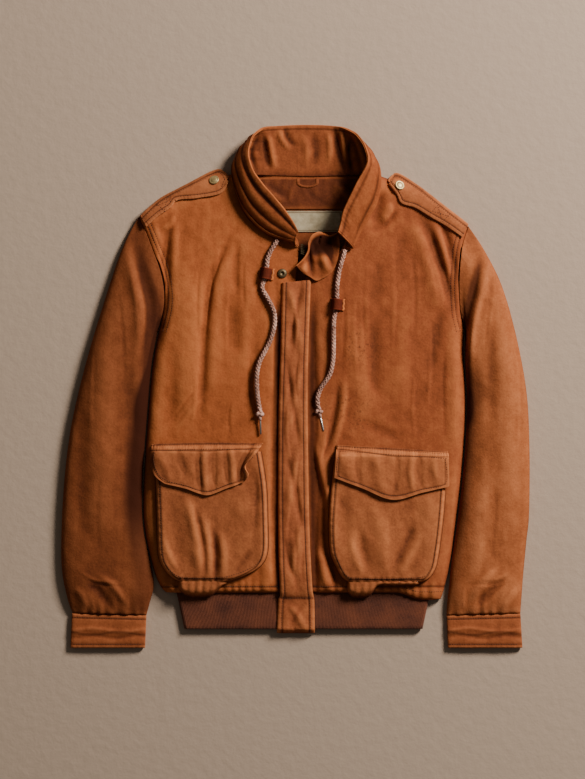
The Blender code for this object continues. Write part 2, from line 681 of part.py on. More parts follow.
def make_pockets(below, material):
    rows = pocket_rows(POCKET_LEFT_EDGE, POCKET_LEFT_INNER, (-145, 30, 21), POCKET_LEFT_FOLDS)
    add_sheet("pocket_left", below.lay(rows, 4.0), material, TRIM_WALL)
    rows = pocket_rows(POCKET_RIGHT_INNER, POCKET_RIGHT_EDGE, (97, 21, 21), POCKET_RIGHT_FOLDS)
    add_sheet("pocket_right", below.lay(rows, 4.0), material, TRIM_WALL)


FLAP_DOWNS = (0.0, 0.06, 0.13, 0.2, 0.42, 0.7, 1.0)


def make_flap(name, top_line, side_lines, lower, lifts, below, material):
    """A pointed flap sewn on along its top, over the mouth of its pocket."""
    top = Line(top_line)
    low = Line(lower)
    left = Line(side_lines[0])
    right = Line(side_lines[1])
    rows = []
    for down in FLAP_DOWNS:
        row = []
        for w in (0, 0.04) + tuple(0.04 + 0.92 * k / 10 for k in range(1, 11)) + (1.0,):
            straight = top.at(w).lerp(low.at(w), down)
            sides = (left.at(down) - left.at(0).lerp(left.at(1), down)).lerp(
                right.at(down) - right.at(0).lerp(right.at(1), down), w)
            place = straight + sides
            lift = 0.2 + 0.8 * down + fold_height(place.x, place.y, lifts)
            row.append((place.x, place.y, lift))
        rows.append(row)
    add_sheet(name, below.lay(rows[::-1], 6.0, relax=1), material, LEATHER_WALL)


def make_flaps(below, material):
    make_flap("flap_left", [(-215, -87), (-130, -85), (-49, -86)],
              ([(-215, -87), (-217, -112), (-210, -134), (-195, -146)],
               [(-49, -86), (-60, -102), (-74, -119), (-70, -132), (-76, -143)]),
              [(-195, -146), (-165, -153), (-133, -163), (-103, -153), (-76, -143)],
              [(-72, -112, -70, -138, 12, 7.0), (-140, -100, -143, -145, 7, 1.8), (-113, -100, -112, -150, 8, 1.5),
               (-205, -115, -200, -138, 9, 2.0)], below, material)
    make_flap("flap_right", [(61, -88), (140, -93), (228, -99)],
              ([(61, -88), (60, -112), (58, -137)], [(228, -99), (229, -125), (229, -150)]),
              [(58, -137), (100, -153), (145, -170), (187, -160), (229, -150)],
              [(150, -105, 143, -155, 7, 1.8), (170, -105, 170, -155, 6, 1.2), (75, -115, 80, -135, 12, 1.5)],
              below, material)


def make_epaulette(name, upper, lower, curl, below, material):
    """A shoulder strap of two layers, from the armhole seam to its rounded end near the collar."""
    top = Line(upper)
    low = Line(lower)
    rows = []
    for across in (0.0, 0.06, 0.35, 0.65, 0.94, 1.0):
        row = []
        for k in range(13):
            along = k / 12
            place = low.at(along).lerp(top.at(along), across)
            lift = 0.3 + fold_height(place.x, place.y, curl)
            row.append((place.x, place.y, lift))
        rows.append(row)
    if upper[0][0] > 0:
        rows = [row[::-1] for row in rows]
    add_sheet(name, below.lay(rows, 7.0, relax=3), material, 2.4)


def make_epaulettes(below, material):
    make_epaulette("epaulette_left",
                   [(-232, 255), (-215, 271), (-197, 285), (-160, 304), (-122, 324), (-108, 322), (-102, 312)],
                   [(-224, 240), (-206, 256), (-188, 268), (-178, 279), (-143, 283), (-112, 290), (-102, 308)],
                   [(-104, 320, -104, 300, 8, 1.5)], below, material)
    make_epaulette("epaulette_right",
                   [(259, 242), (238, 258), (220, 272), (186, 299), (155, 319), (144, 315), (140, 307)],
                   [(250, 224), (226, 241), (203, 254), (180, 268), (160, 274), (153, 287), (141, 304)],
                   [(146, 312, 154, 288, 7, 3.0)], below, material)


SNAP_PROFILE = [(0, 3.2), (3.2, 3.0), (5.6, 2.4), (7.0, 1.2), (7.5, 0.4), (7.2, 0.0), (0, 0.0)]
SOCKET_PROFILE = [(0, 1.0), (2.2, 1.0), (2.6, 2.4), (5.0, 2.6), (6.6, 1.6), (7.2, 0.0), (0, 0.0)]


def make_snaps(below, brass, dark):
    for name, x, y, profile, finish in (("snap_left", -122, 309, SNAP_PROFILE, brass),
                                        ("snap_right", 156, 301, SNAP_PROFILE, brass),
                                        ("snap_socket", -20, 169, SOCKET_PROFILE, dark)):
        ground = below.top(x, y, 0.5 * SNAP_WIDTH)
        turned(name, profile, finish, (x, y, ground + SEAM_GAP))


CORD_LEFT = [(-27, 219), (-32, 211), (-38, 201), (-42, 190), (-43, 180), (-44, 169), (-47, 159), (-50, 150),
             (-48, 142), (-43, 134), (-37, 123), (-32.5, 112), (-31, 100), (-32.5, 86), (-38, 68), (-46, 52),
             (-54, 36), (-57.5, 20), (-58, 5), (-57, -12), (-55, -27), (-53.5, -35)]
CORD_RIGHT = [(74, 204), (71, 193), (68, 183), (65, 170), (63, 157), (62, 145), (62, 133), (62, 122), (60, 112),
              (58, 103), (57, 90), (57, 75), (57, 60), (56.5, 45), (55, 31), (51, 17), (44, 6), (38, -3),
              (34, -13), (33, -22), (34, -31)]
CORD_END_LEFT = ((-53.4, -35.8), (-48.5, -80))
CORD_END_RIGHT = ((34.2, -32), (45.5, -71))
KNOT = 6.2
AGLET = 2.3
END_LENGTH = 43.0
END_PROFILE = [(0, 0), (AGLET - 0.4, 0), (AGLET, 1.2), (AGLET, 21), (3.0, 22), (3.2, 27), (5.2, 29), (KNOT, 33),
               (KNOT, 38), (4.6, 42), (0, END_LENGTH)]


def make_cord(name, route, below, material):
    """A soft braided drawcord that lies on the front."""
    line = Line(route)
    count = max(2, round(line.length / CORD_STEP))
    curve = bpy.data.curves.new(name, "CURVE")
    curve.dimensions = "3D"
    curve.bevel_depth = 0.5 * CORD_WIDTH * MM
    curve.bevel_resolution = CORD_SIDES
    curve.use_fill_caps = True
    spline = curve.splines.new("POLY")
    spline.points.add(count)
    for k in range(count + 1):
        place = line.at(k / count)
        level = below.top(place.x, place.y, 0.5 * CORD_STEP) + 0.5 * CORD_WIDTH + SEAM_GAP
        spline.points[k].co = (place.x * MM, place.y * MM, level * MM, 1)
    curve.materials.append(material)
    piece = bpy.data.objects.new(name, curve)
    jacket.objects.link(piece)


def make_cord_end(name, ends, below, material):
    """The knot near the cord's end with its metal tip, as one turned piece that leans down to the front."""
    (x0, y0), (x1, y1) = ends
    way = Vector((x1 - x0, y1 - y0))
    tip = max(below.top(*Vector((x0, y0)).lerp(Vector((x1, y1)), t), 4.0) for t in (0.6, 0.8, 1.0))
    head = below.top(x0 + 0.15 * way.x, y0 + 0.15 * way.y, KNOT)
    low = Vector((x1, y1, tip + AGLET))
    high = Vector((x0, y0, head + KNOT + 0.7))
    profile = [(radius, END_LENGTH - height) for radius, height in END_PROFILE]
    turned(name, profile, material, high, lean=low - high, steps=12)


def make_keeper(name, x, y, lean, below, material):
    """A small leather loop sewn down beside the cord, which runs through it."""
    section = [(-8.5, 0.0), (-6.6, 0.4), (-5.4, 3.0), (-4.6, 7.6), (-2.4, 9.2), (2.4, 9.2), (4.6, 7.6), (5.4, 3.0),
               (6.6, 0.4), (8.5, 0.0)]
    ground = below.top(x, y, 11.0)
    rows = []
    for along in (-8.0, 0.0, 8.0):
        row = []
        for across, up in section:
            px = x + across * math.cos(lean) - along * math.sin(lean)
            py = y + across * math.sin(lean) + along * math.cos(lean)
            row.append((px, py, ground + SEAM_GAP + up))
        rows.append(row)
    add_sheet(name, rows, material, 1.3)


def make_throat(below, material):
    """The collar's lower front end, which crosses the throat: a rolled upper edge and a turned-up corner."""
    upper = Line([(63, 231, 15), (52, 226, 11), (43, 229, 14), (34, 231, 20), (24, 226, 23), (15, 216, 22),
                  (10, 204, 20), (6, 192, 20), (0, 180, 24)])
    lower = Line([(67, 214, 16), (65, 200, 16), (62, 186, 16), (57, 174, 16), (49, 166, 16), (40, 161, 16),
                  (31, 158, 17), (22, 163, 19), (8, 172, 24)])
    rows = []
    for across in (0.0, 0.15, 0.4, 0.65, 0.9, 1.0):
        row = []
        for k in range(15):
            along = k / 14
            place = lower.at(along).lerp(upper.at(along), across)
            crease = 2.2 * math.sin(5 * math.pi * along) * math.sin(math.pi * across)
            ground = below.top(place.x, place.y, 5.0) + SEAM_GAP + 0.3
            row.append((place.x, place.y, max(place.z + crease, ground)))
        rows.append(row)
    add_sheet("throat_facing", [row[::-1] for row in rows], material, TRIM_WALL)


start_clean()
jacket = new_collection("leather_jacket")
nubuck = finish_of("nubuck_leather", (0.36, 0.12, 0.04), 0.75)
knit = finish_of("rib_knit", (0.10, 0.03, 0.016), 0.9)
woven = finish_of("woven_label", (0.45, 0.38, 0.26), 0.9)
brass_finish = finish_of("aged_brass", (0.55, 0.45, 0.24), 0.35, 1.0)
dark_metal = finish_of("dark_metal", (0.06, 0.04, 0.03), 0.5, 0.8)
braid = finish_of("braided_cotton", (0.45, 0.27, 0.19), 0.9)
steel = finish_of("steel_tip", (0.7, 0.68, 0.64), 0.3, 1.0)

make_back(nubuck)
make_fronts(nubuck)
make_sleeves(nubuck)
make_cuff("cuff_left", (-336, -341.4), (-224, -344.4), (-338, -393), (-226, -393), nubuck)
make_cuff("cuff_right", (338, -341.4), (227, -344.4), (341, -393), (229, -393), nubuck)
make_rib(knit)
make_neck(nubuck, woven)
body_top = Below(["back_panel", "front_left", "front_right", "rib_hem", "neck_facing"])
make_collar(nubuck, nubuck, body_top)
make_placket(body_top, nubuck)
make_pockets(body_top, nubuck)
pocket_top = Below(["front_left", "front_right", "pocket_left", "pocket_right"])
make_flaps(pocket_top, nubuck)
shoulder_top = Below(["front_left", "front_right", "back_panel"])
make_epaulettes(shoulder_top, nubuck)
make_snaps(Below(["front_left", "epaulette_left", "epaulette_right"]), brass_finish, dark_metal)
front_top = Below(["front_left", "front_right"])
make_cord("cord_left", CORD_LEFT, front_top, braid)
make_cord("cord_right", CORD_RIGHT, front_top, braid)
make_cord_end("cord_end_left", CORD_END_LEFT, front_top, steel)
make_cord_end("cord_end_right", CORD_END_RIGHT, front_top, steel)
make_keeper("keeper_left", -44.3, 169, -0.17, front_top, nubuck)
make_keeper("keeper_right", 61.6, 122.5, -0.08, front_top, nubuck)
throat_top = Below(["front_left", "front_right", "placket", "label", "neck_facing", "snap_socket"])
make_throat(throat_top, nubuck)
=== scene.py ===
"""The looks of a worn leather jacket that lies flat on its back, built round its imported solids.

Lengths in the sections are millimetres seen from above, X to the viewer's right and Y up to the collar.
"""

import math

import bpy
import numpy as np
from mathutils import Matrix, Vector
from mathutils.bvhtree import BVHTree


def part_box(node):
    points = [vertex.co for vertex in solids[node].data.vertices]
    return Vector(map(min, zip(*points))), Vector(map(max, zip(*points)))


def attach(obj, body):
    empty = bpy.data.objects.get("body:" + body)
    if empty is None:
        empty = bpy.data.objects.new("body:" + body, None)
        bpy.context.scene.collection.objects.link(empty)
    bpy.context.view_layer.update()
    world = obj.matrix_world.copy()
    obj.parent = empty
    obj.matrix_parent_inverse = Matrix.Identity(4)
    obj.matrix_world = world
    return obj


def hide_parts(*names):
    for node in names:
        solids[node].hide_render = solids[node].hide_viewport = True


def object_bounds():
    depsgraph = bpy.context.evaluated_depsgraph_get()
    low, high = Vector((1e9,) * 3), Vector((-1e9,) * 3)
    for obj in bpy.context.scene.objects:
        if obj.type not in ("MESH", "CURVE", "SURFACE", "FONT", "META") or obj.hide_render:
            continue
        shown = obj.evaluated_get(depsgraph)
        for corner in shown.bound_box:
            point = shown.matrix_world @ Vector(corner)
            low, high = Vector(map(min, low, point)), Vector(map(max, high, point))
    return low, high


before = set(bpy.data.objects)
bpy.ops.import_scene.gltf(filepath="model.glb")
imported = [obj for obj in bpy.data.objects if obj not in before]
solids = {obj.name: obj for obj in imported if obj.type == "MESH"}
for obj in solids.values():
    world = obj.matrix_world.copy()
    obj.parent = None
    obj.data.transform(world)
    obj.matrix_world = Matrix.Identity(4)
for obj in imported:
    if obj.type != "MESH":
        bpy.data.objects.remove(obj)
cad_low, cad_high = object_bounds()
MM = 0.001

# Camera
# The photo is taken from straight above with a long lens, and the jacket is 469 of its 585 pixels wide.
JACKET_PIXELS = 469
PHOTO_HEIGHT = 779
PHOTO_SHIFT = (-3.0, -3.3)
CAMERA_RISE = 4.0
MIDDLE_LEVEL = 0.012
pixel = (cad_high.x - cad_low.x) / JACKET_PIXELS
lens = bpy.data.cameras.new("camera")
lens.sensor_width = 36.0
lens.lens = lens.sensor_width * CAMERA_RISE / (PHOTO_HEIGHT * pixel)
camera = bpy.data.objects.new("camera", lens)
bpy.context.scene.collection.objects.link(camera)
camera.location = (PHOTO_SHIFT[0] * pixel, PHOTO_SHIFT[1] * pixel, CAMERA_RISE + MIDDLE_LEVEL)
bpy.context.scene.camera = camera

# Drawcords
# Two soft braided cotton cords, 7 mm thick, of eight strands that cross over and under. They come out of the
# collar's front ends and lie on the fronts.
CORD_WIDTH = 7.0
CORD_LEFT = [(-27, 219), (-32, 211), (-38, 201), (-42, 190), (-43, 180), (-44, 169), (-47, 159), (-50, 150),
             (-48, 142), (-43, 134), (-37, 123), (-32.5, 112), (-31, 100), (-32.5, 86), (-38, 68), (-46, 52),
             (-54, 36), (-57.5, 20), (-58, 5), (-57, -12), (-55, -27), (-53.5, -35)]
CORD_RIGHT = [(74, 204), (71, 193), (68, 183), (65, 170), (63, 157), (62, 145), (62, 133), (62, 122),
              (60, 112),
              (58, 103), (57, 90), (57, 75), (57, 60), (56.5, 45), (55, 31), (51, 17), (44, 6), (38, -3),
              (34, -13), (33, -22), (34, -31)]


def bent(before, start, end, after, t):
    """A smooth curve from one given point to the next, steered by the points before and after them."""
    square = 2 * before - 5 * start + 4 * end - after
    cube = 3 * start - before - 3 * end + after
    return 0.5 * (2 * start + (end - before) * t + square * t ** 2 + cube * t ** 3)


def along(points, fractions):
    """Points at fractions of the length of a smooth curve through a few given ones."""
    given = np.array(points, float)
    ends = np.vstack([given[:1], given, given[-1:]])
    t = np.linspace(0, 1, 12, endpoint=False)[:, None]
    fine = []
    for before, start, end, after in zip(ends, ends[1:], ends[2:], ends[3:]):
        fine.append(bent(before, start, end, after, t))
    fine = np.vstack(fine + [given[-1:]])
    reach = np.concatenate([[0], np.cumsum(np.linalg.norm(np.diff(fine, axis=0), axis=1))])
    wanted = np.asarray(fractions) * reach[-1]
    return np.stack([np.interp(wanted, reach, fine[:, k]) for k in range(given.shape[1])], axis=1)


def length_of(points):
    """How long a line of points is."""
    return float(np.linalg.norm(np.diff(np.asarray(points, float), axis=0), axis=1).sum())


def tree_of(*pieces):
    """What a ray can hit: the faces of some pieces as they are shown."""
    bpy.context.view_layer.update()
    graph = bpy.context.evaluated_depsgraph_get()
    vertices = []
    faces = []
    for piece in pieces:
        mesh = piece.evaluated_get(graph).to_mesh()
        first = len(vertices)
        vertices += [v.co.copy() for v in mesh.vertices]
        faces += [[first + v for v in p.vertices] for p in mesh.polygons]
    return BVHTree.FromPolygons(vertices, faces)


def heights(tree, x, y, fill=True):
    """How high the top of a tree is at each point, with the nearest place taken where nothing is below."""
    found = np.empty(x.size)
    for k, (px, py) in enumerate(zip(x.ravel(), y.ravel())):
        hit = tree.ray_cast(Vector((px * MM, py * MM, 0.2)), Vector((0, 0, -1)))[0]
        if hit is None and fill:
            hit = tree.find_nearest(Vector((px * MM, py * MM, 0.02)))[0]
        found[k] = hit.z / MM if hit else -1.0
    return found.reshape(x.shape)


def add_node(tree, kind, inputs=(), **settings):
    """Adds a node with its settings, and gives its sockets values or links to other nodes."""
    made = tree.nodes.new(kind)
    for key, value in settings.items():
        setattr(made, key, value)
    for key, value in dict(inputs).items():
        if isinstance(value, bpy.types.Node):
            value = value.outputs[0]
        if isinstance(value, bpy.types.NodeSocket):
            tree.links.new(value, made.inputs[key])
        else:
            made.inputs[key].default_value = value
    return made


def linear(colour):
    """A colour of the screen as the renderer's linear one."""
    parts = [int(colour[k:k + 2], 16) / 255 for k in (1, 3, 5)]
    return [c / 12.92 if c <= 0.04045 else ((c + 0.055) / 1.055) ** 2.4 for c in parts] + [1.0]


def new_material(name, roughness, metallic=0.0, sheen=0.0):
    """A material with its nodes, its shader and the place on the object that its textures read."""
    material = bpy.data.materials.new(name)
    material.use_nodes = True
    shader = material.node_tree.nodes["Principled BSDF"]
    shader.inputs["Roughness"].default_value = roughness
    shader.inputs["Metallic"].default_value = metallic
    shader.inputs["Sheen Weight"].default_value = sheen
    place = add_node(material.node_tree, "ShaderNodeTexCoord").outputs["Object"]
    return material, material.node_tree, shader, place


def dress(shading, shader, colour, height=None, strength=0.0, depth=0.0):
    """Gives a shader its colour and, where it has one, the fine relief of its surface."""
    shading.links.new(colour, shader.inputs["Base Color"])
    if height:
        bump = add_node(shading, "ShaderNodeBump",
                        {"Height": height, "Strength": strength, "Distance": depth})
        shading.links.new(bump.outputs[0], shader.inputs["Normal"])


def new_tree(name, inputs):
    """A tree of geometry nodes with named inputs."""
    tree = bpy.data.node_groups.new(name, "GeometryNodeTree")
    tree.interface.new_socket("Geometry", in_out="OUTPUT", socket_type="NodeSocketGeometry")
    tree.interface.new_socket("Geometry", in_out="INPUT", socket_type="NodeSocketGeometry")
    for label, kind in inputs:
        tree.interface.new_socket(label, in_out="INPUT", socket_type=kind)
    return tree, tree.nodes.new("NodeGroupInput").outputs, tree.nodes.new("NodeGroupOutput").inputs


def end_tree(tree, mesh, given, out):
    """Ends a tree with one smooth mesh in the material that it is given."""
    real = add_node(tree, "GeometryNodeRealizeInstances", {0: mesh})
    smooth = add_node(tree, "GeometryNodeSetShadeSmooth", {0: real})
    painted = add_node(tree, "GeometryNodeSetMaterial", {0: smooth, "Material": given["Material"]})
    tree.links.new(painted.outputs[0], out[0])
    return tree


def grown(name, source, tree, values):
    """Runs a tree of geometry nodes on an object, and gives what comes out as a plain mesh."""
    modifier = source.modifiers.new("grow", "NODES")
    modifier.node_group = tree
    for item in tree.interface.items_tree:
        if item.in_out == "INPUT" and item.name in values:
            modifier[item.identifier] = values[item.name]
    bpy.context.view_layer.update()
    graph = bpy.context.evaluated_depsgraph_get()
    mesh = bpy.data.meshes.new_from_object(source.evaluated_get(graph))
    bpy.data.objects.remove(source)
    mesh.name = name
    piece = bpy.data.objects.new(name, mesh)
    bpy.context.scene.collection.objects.link(piece)
    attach(piece, "root")
    return piece


def path_object(name, paths):
    """A curve of straight stretches through lists of points in millimetres."""
    curve = bpy.data.curves.new(name, "CURVE")
    curve.dimensions = "3D"
    for points in paths:
        spline = curve.splines.new("POLY")
        spline.points.add(len(points) - 1)
        for point, place in zip(spline.points, points):
            point.co = (place[0] * MM, place[1] * MM, place[2] * MM, 1)
    piece = bpy.data.objects.new(name, curve)
    bpy.context.scene.collection.objects.link(piece)
    return piece


MATH = "ShaderNodeMath"
VECTOR_MATH = "ShaderNodeVectorMath"
NOISE = "ShaderNodeTexNoise"
MIX = "ShaderNodeMix"


def braid_tree():
    """Strands that wind both ways round a path and pass over and under each other, round a plain core."""
    tree, given, out = new_tree("braid", [("Strands", "NodeSocketInt"), ("Turn Length", "NodeSocketFloat"),
                                          ("Radius", "NodeSocketFloat"), ("Strand Radius", "NodeSocketFloat"),
                                          ("Weave", "NodeSocketFloat"), ("Material", "NodeSocketMaterial")])
    path = add_node(tree, "GeometryNodeResampleCurve", {"Curve": given["Geometry"], "Length": 1.3 * MM},
                    mode="LENGTH")
    copies = add_node(tree, "GeometryNodeDuplicateElements", {"Geometry": path, "Amount": given["Strands"]},
                      domain="SPLINE")
    copy = copies.outputs["Duplicate Index"]
    odd = add_node(tree, MATH, {0: copy, 1: 2.0}, operation="MODULO")
    way = add_node(tree, MATH, {0: odd, 1: 2.0, 2: -1.0}, operation="MULTIPLY_ADD")
    run = add_node(tree, "GeometryNodeSplineParameter").outputs["Length"]
    turns = add_node(tree, MATH, {0: run, 1: given["Turn Length"]}, operation="DIVIDE")
    wound = add_node(tree, MATH, {0: turns, 1: 2 * math.pi}, operation="MULTIPLY")
    half = add_node(tree, MATH, {0: given["Strands"], 1: 0.5}, operation="MULTIPLY")
    halved = add_node(tree, MATH, {0: copy, 1: 0.5}, operation="MULTIPLY")
    pair = add_node(tree, MATH, {0: halved}, operation="FLOOR")
    step = add_node(tree, MATH, {0: 2 * math.pi, 1: half}, operation="DIVIDE")
    phase = add_node(tree, MATH, {0: pair, 1: step}, operation="MULTIPLY")
    angle = add_node(tree, MATH, {0: way, 1: wound, 2: phase}, operation="MULTIPLY_ADD")
    quick = add_node(tree, MATH, {0: half, 1: wound}, operation="MULTIPLY")
    beat = add_node(tree, MATH, {0: quick}, operation="COSINE")
    over = add_node(tree, MATH, {0: way, 1: beat}, operation="MULTIPLY")
    out_by = add_node(tree, MATH, {0: over, 1: given["Weave"], 2: given["Radius"]}, operation="MULTIPLY_ADD")
    normal = add_node(tree, "GeometryNodeInputNormal")
    tangent = add_node(tree, "GeometryNodeInputTangent")
    across = add_node(tree, VECTOR_MATH, {0: tangent, 1: normal}, operation="CROSS_PRODUCT")
    sideways = []
    for axis, kind in ((normal, "COSINE"), (across, "SINE")):
        turned = add_node(tree, MATH, {0: angle}, operation=kind)
        reach = add_node(tree, MATH, {0: turned, 1: out_by}, operation="MULTIPLY")
        sideways.append(add_node(tree, VECTOR_MATH, {0: axis, "Scale": reach}, operation="SCALE"))
    offset = add_node(tree, VECTOR_MATH, {0: sideways[0], 1: sideways[1]}, operation="ADD")
    strands = add_node(tree, "GeometryNodeSetPosition", {"Geometry": copies, "Offset": offset})
    round_strand = add_node(tree, "GeometryNodeCurvePrimitiveCircle",
                            {"Resolution": 6, "Radius": given["Strand Radius"]})
    tubes = add_node(tree, "GeometryNodeCurveToMesh",
                     {"Curve": strands, "Profile Curve": round_strand, "Fill Caps": True})
    round_core = add_node(tree, "GeometryNodeCurvePrimitiveCircle",
                          {"Resolution": 8, "Radius": given["Radius"]})
    core = add_node(tree, "GeometryNodeCurveToMesh",
                    {"Curve": path, "Profile Curve": round_core, "Fill Caps": True})
    joined = add_node(tree, "GeometryNodeJoinGeometry", {0: tubes})
    tree.links.new(core.outputs[0], joined.inputs[0])
    return end_tree(tree, joined, given, out)


# Braided cotton, dyed pinkish tan and greyed by wear: pale where the strands are high, dark between them.
cotton, shading, shader, place = new_material("braided_cotton_worn", 0.9, sheen=0.1)
fibres = add_node(shading, NOISE, {"Vector": place, "Scale": 420.0, "Detail": 4.0})
patches = add_node(shading, NOISE, {"Vector": place, "Scale": 60.0, "Detail": 3.0})
both = add_node(shading, MATH, {0: fibres, 1: patches}, operation="ADD")
share = add_node(shading, "ShaderNodeMapRange", {"Value": both, "From Min": 0.75, "From Max": 1.25})
tone = add_node(shading, MIX, {0: share, 6: linear("#7d4f3c"), 7: linear("#dcaa92")}, data_type="RGBA")
dress(shading, shader, tone.outputs[2], fibres, 0.6, 0.0004)

STRANDS = 8
STRAND_RADIUS = 1.0
WEAVE = 0.55
CORE_RADIUS = 0.5 * CORD_WIDTH - STRAND_RADIUS - 0.2
TURN_LENGTH = 21.0
braid = braid_tree()


def lay_cord(side, route):
    """A cord along its route, at the level of its solid."""
    own = tree_of(solids["cord_" + side])
    places = along(route, np.linspace(0, 1, 160))
    level = heights(own, places[:, 0], places[:, 1]) - 0.5 * CORD_WIDTH
    for turn in range(60):
        level[1:-1] = 0.25 * level[:-2] + 0.5 * level[1:-1] + 0.25 * level[2:]
    line = np.column_stack([places, level])
    values = {"Strands": STRANDS, "Turn Length": TURN_LENGTH * MM, "Radius": CORE_RADIUS * MM,
              "Strand Radius": STRAND_RADIUS * MM, "Weave": WEAVE * MM, "Material": cotton}
    piece = grown("drawcord_" + side, path_object("route_" + side, [line]), braid, values)
    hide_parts("cord_" + side)
    return piece, line


cord_left, line_left = lay_cord("left", CORD_LEFT)
cord_right, line_right = lay_cord("right", CORD_RIGHT)

# Cord ends
# Each cord ends in an overhand knot of its own braid, and a thin bright metal tip clamped on its last
# stretch.
steel, shading, shader, place = new_material("nickel_plated_brass_rolled", 0.32, metallic=1.0)
scuffs = add_node(shading, NOISE, {"Vector": place, "Scale": 700.0, "Detail": 3.0})
tone = add_node(shading, MIX, {0: scuffs, 6: linear("#9a9084"), 7: linear("#d8d0c4")}, data_type="RGBA")
dress(shading, shader, tone.outputs[2])
KNOT_POINTS = 120
KNOT_START = 5.5
KNOT_RADIUS = 3.7
KNOT_TUBE = 2.5
TIP_LENGTH = 23.0
TIP_RADIUS = 1.5
TIP_SHARES = [0.2, 0.22, 0.26, 0.3, 0.32, 0.9, 0.97, 1.0]
TIP_RADII = [1.25, 1.55, 1.55, 1.3, 1.5, 1.45, 1.3, 0.7]


def mesh_piece(name, vertices, faces, material, node=None, smooth=True):
    """A finished piece from points in millimetres."""
    mesh = bpy.data.meshes.new(name)
    places = (np.asarray(vertices, float) * MM).tolist()
    mesh.from_pydata(places, [], [list(map(int, face)) for face in faces])
    mesh.materials.append(material)
    if smooth:
        mesh.shade_smooth()
    piece = bpy.data.objects.new(name, mesh)
    bpy.context.scene.collection.objects.link(piece)
    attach(piece, "root")
    if node:
        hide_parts(node)
    return piece


def tube(path, radii, sides, closed=False):
    """Points and faces of a round tube along a path."""
    path = np.asarray(path, float)
    ways = np.roll(path, -1, axis=0) - np.roll(path, 1, axis=0)
    if not closed:
        ways[0] = path[1] - path[0]
        ways[-1] = path[-1] - path[-2]
    vertices = []
    side = np.cross(ways[0], (0.3, 0.2, 1.0))
    for place, way, radius in zip(path, ways, radii):
        way = way / np.linalg.norm(way)
        side = side - way * side.dot(way)
        side = side / np.linalg.norm(side)
        up = np.cross(way, side)
        for k in range(sides):
            turn = 2 * math.pi * k / sides
            vertices.append(place + radius * (math.cos(turn) * side + math.sin(turn) * up))
    faces = []
    count = len(path)
    for j in range(count if closed else count - 1):
        for k in range(sides):
            a, b = j * sides + k, j * sides + (k + 1) % sides
            c, d = ((j + 1) % count) * sides + (k + 1) % sides, ((j + 1) % count) * sides + k
            faces.append((a, b, c, d))
    if not closed:
        faces.append(list(range(sides))[::-1])
        faces.append([(count - 1) * sides + k for k in range(sides)])
    return vertices, faces


def end_of_cord(side, line):
    """The knot and the metal tip past a cord's end, along the solid that stands for both."""
    low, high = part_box("cord_end_" + side)
    start = line[-1]
    centre = 0.5 * (low + high) / MM
    way = np.array([centre.x - start[0], centre.y - start[1], 0.0])
    way = way / np.linalg.norm(way)
    aside = np.array([-way[1], way[0], 0.0])
    middle = start + way * KNOT_START
    knot = []
    for k in range(KNOT_POINTS):
        t = 2 * math.pi * k / KNOT_POINTS
        across = KNOT_RADIUS * (math.sin(t) + 1.4 * math.sin(2 * t)) / 2.0
        ahead = KNOT_RADIUS * (math.cos(t) - 1.4 * math.cos(2 * t)) / 2.0
        knot.append(middle + aside * across + way * ahead - np.array([0, 0, 1.0]) * math.sin(3 * t) * 1.6)
    radii = [KNOT_TUBE * (1 + 0.06 * math.sin(k * 1.5)) for k in range(KNOT_POINTS)]
    vertices, faces = tube(knot, radii, 8, closed=True)
    piece = mesh_piece("cord_knot_" + side, vertices, faces, cotton, "cord_end_" + side)
    ground = low.z / MM + TIP_RADIUS + 0.4
    first = middle + way * 3.0
    last = middle + way * (9.0 + TIP_LENGTH)
    last[2] = ground
    stub = [first + (last - first) * t for t in (0.0, 0.12, 0.26)]
    stub_vertices, stub_faces = tube(stub, [2.4, 2.6, 2.2], 8)
    frayed = mesh_piece("cord_stub_" + side, stub_vertices, stub_faces, cotton)
    metal = [first + (last - first) * t for t in TIP_SHARES]
    tip_vertices, tip_faces = tube(metal, TIP_RADII, 12)
    tip = mesh_piece("cord_tip_" + side, tip_vertices, tip_faces, steel)
    return [piece, frayed, tip]


ends_left = end_of_cord("left", line_left)
ends_right = end_of_cord("right", line_right)

# Body
# The back and the two fronts are cut from soft brown nubuck and lie on each other, with drape folds down
# the chest, gathers where the hem is sewn to the waistband, and shoulders that slope to the back.
LEATHER_WALL = 2.0
LOW_EDGE = 2.4
BODY_RISE = 11.5
RIB_TOP = 9.2
RIB_TOP_Y = -299.5
HEM_Y = -308.0
UNDERARM_Y = 85.0
CELL = 2.5
# The dark brown of the leather's seams, also used as painted shade in hollows, troughs and shadows.
DIRT_AND_SHADE = "#381505"
STAIN = "#4a2416"
SIDE_LEFT = [(-188, -314), (-203, -300), (-215, -270), (-226, -220), (-229, -178), (-227, -120),
             (-222, -50), (-215, 30), (-205, 85)]
SIDE_RIGHT = [(214, -318), (224, -295), (233, -262), (242, -200), (249, -140), (254, -80),
              (256, -20), (253, 40), (253, 85)]
ARMHOLE_LEFT = [(-205, 85), (-197, 118), (-197, 148), (-203, 176), (-213, 203), (-224, 231), (-235, 254)]
ARMHOLE_RIGHT = [(253, 85), (247, 112), (245, 152), (247, 190), (251, 215), (259, 240)]
NECK_LEFT = [(4, 209), (-9, 223), (-34, 234), (-57, 254), (-72, 278), (-82, 302), (-84, 311)]
NECK_RIGHT = [(75, 209), (79, 219), (89, 236), (102, 257), (113, 279), (118, 301), (115, 309)]
RING_MIDDLE = (16, 268)
NECK_LAP = 3.5
SHOULDER_NECK_LEFT = (-90, 318)
SHOULDER_NECK_RIGHT = (122, 316)
SHOULDER_BULGE = 9.0
FOLD_DEPTH = 1.7
CREASE_DEPTH = 1.3
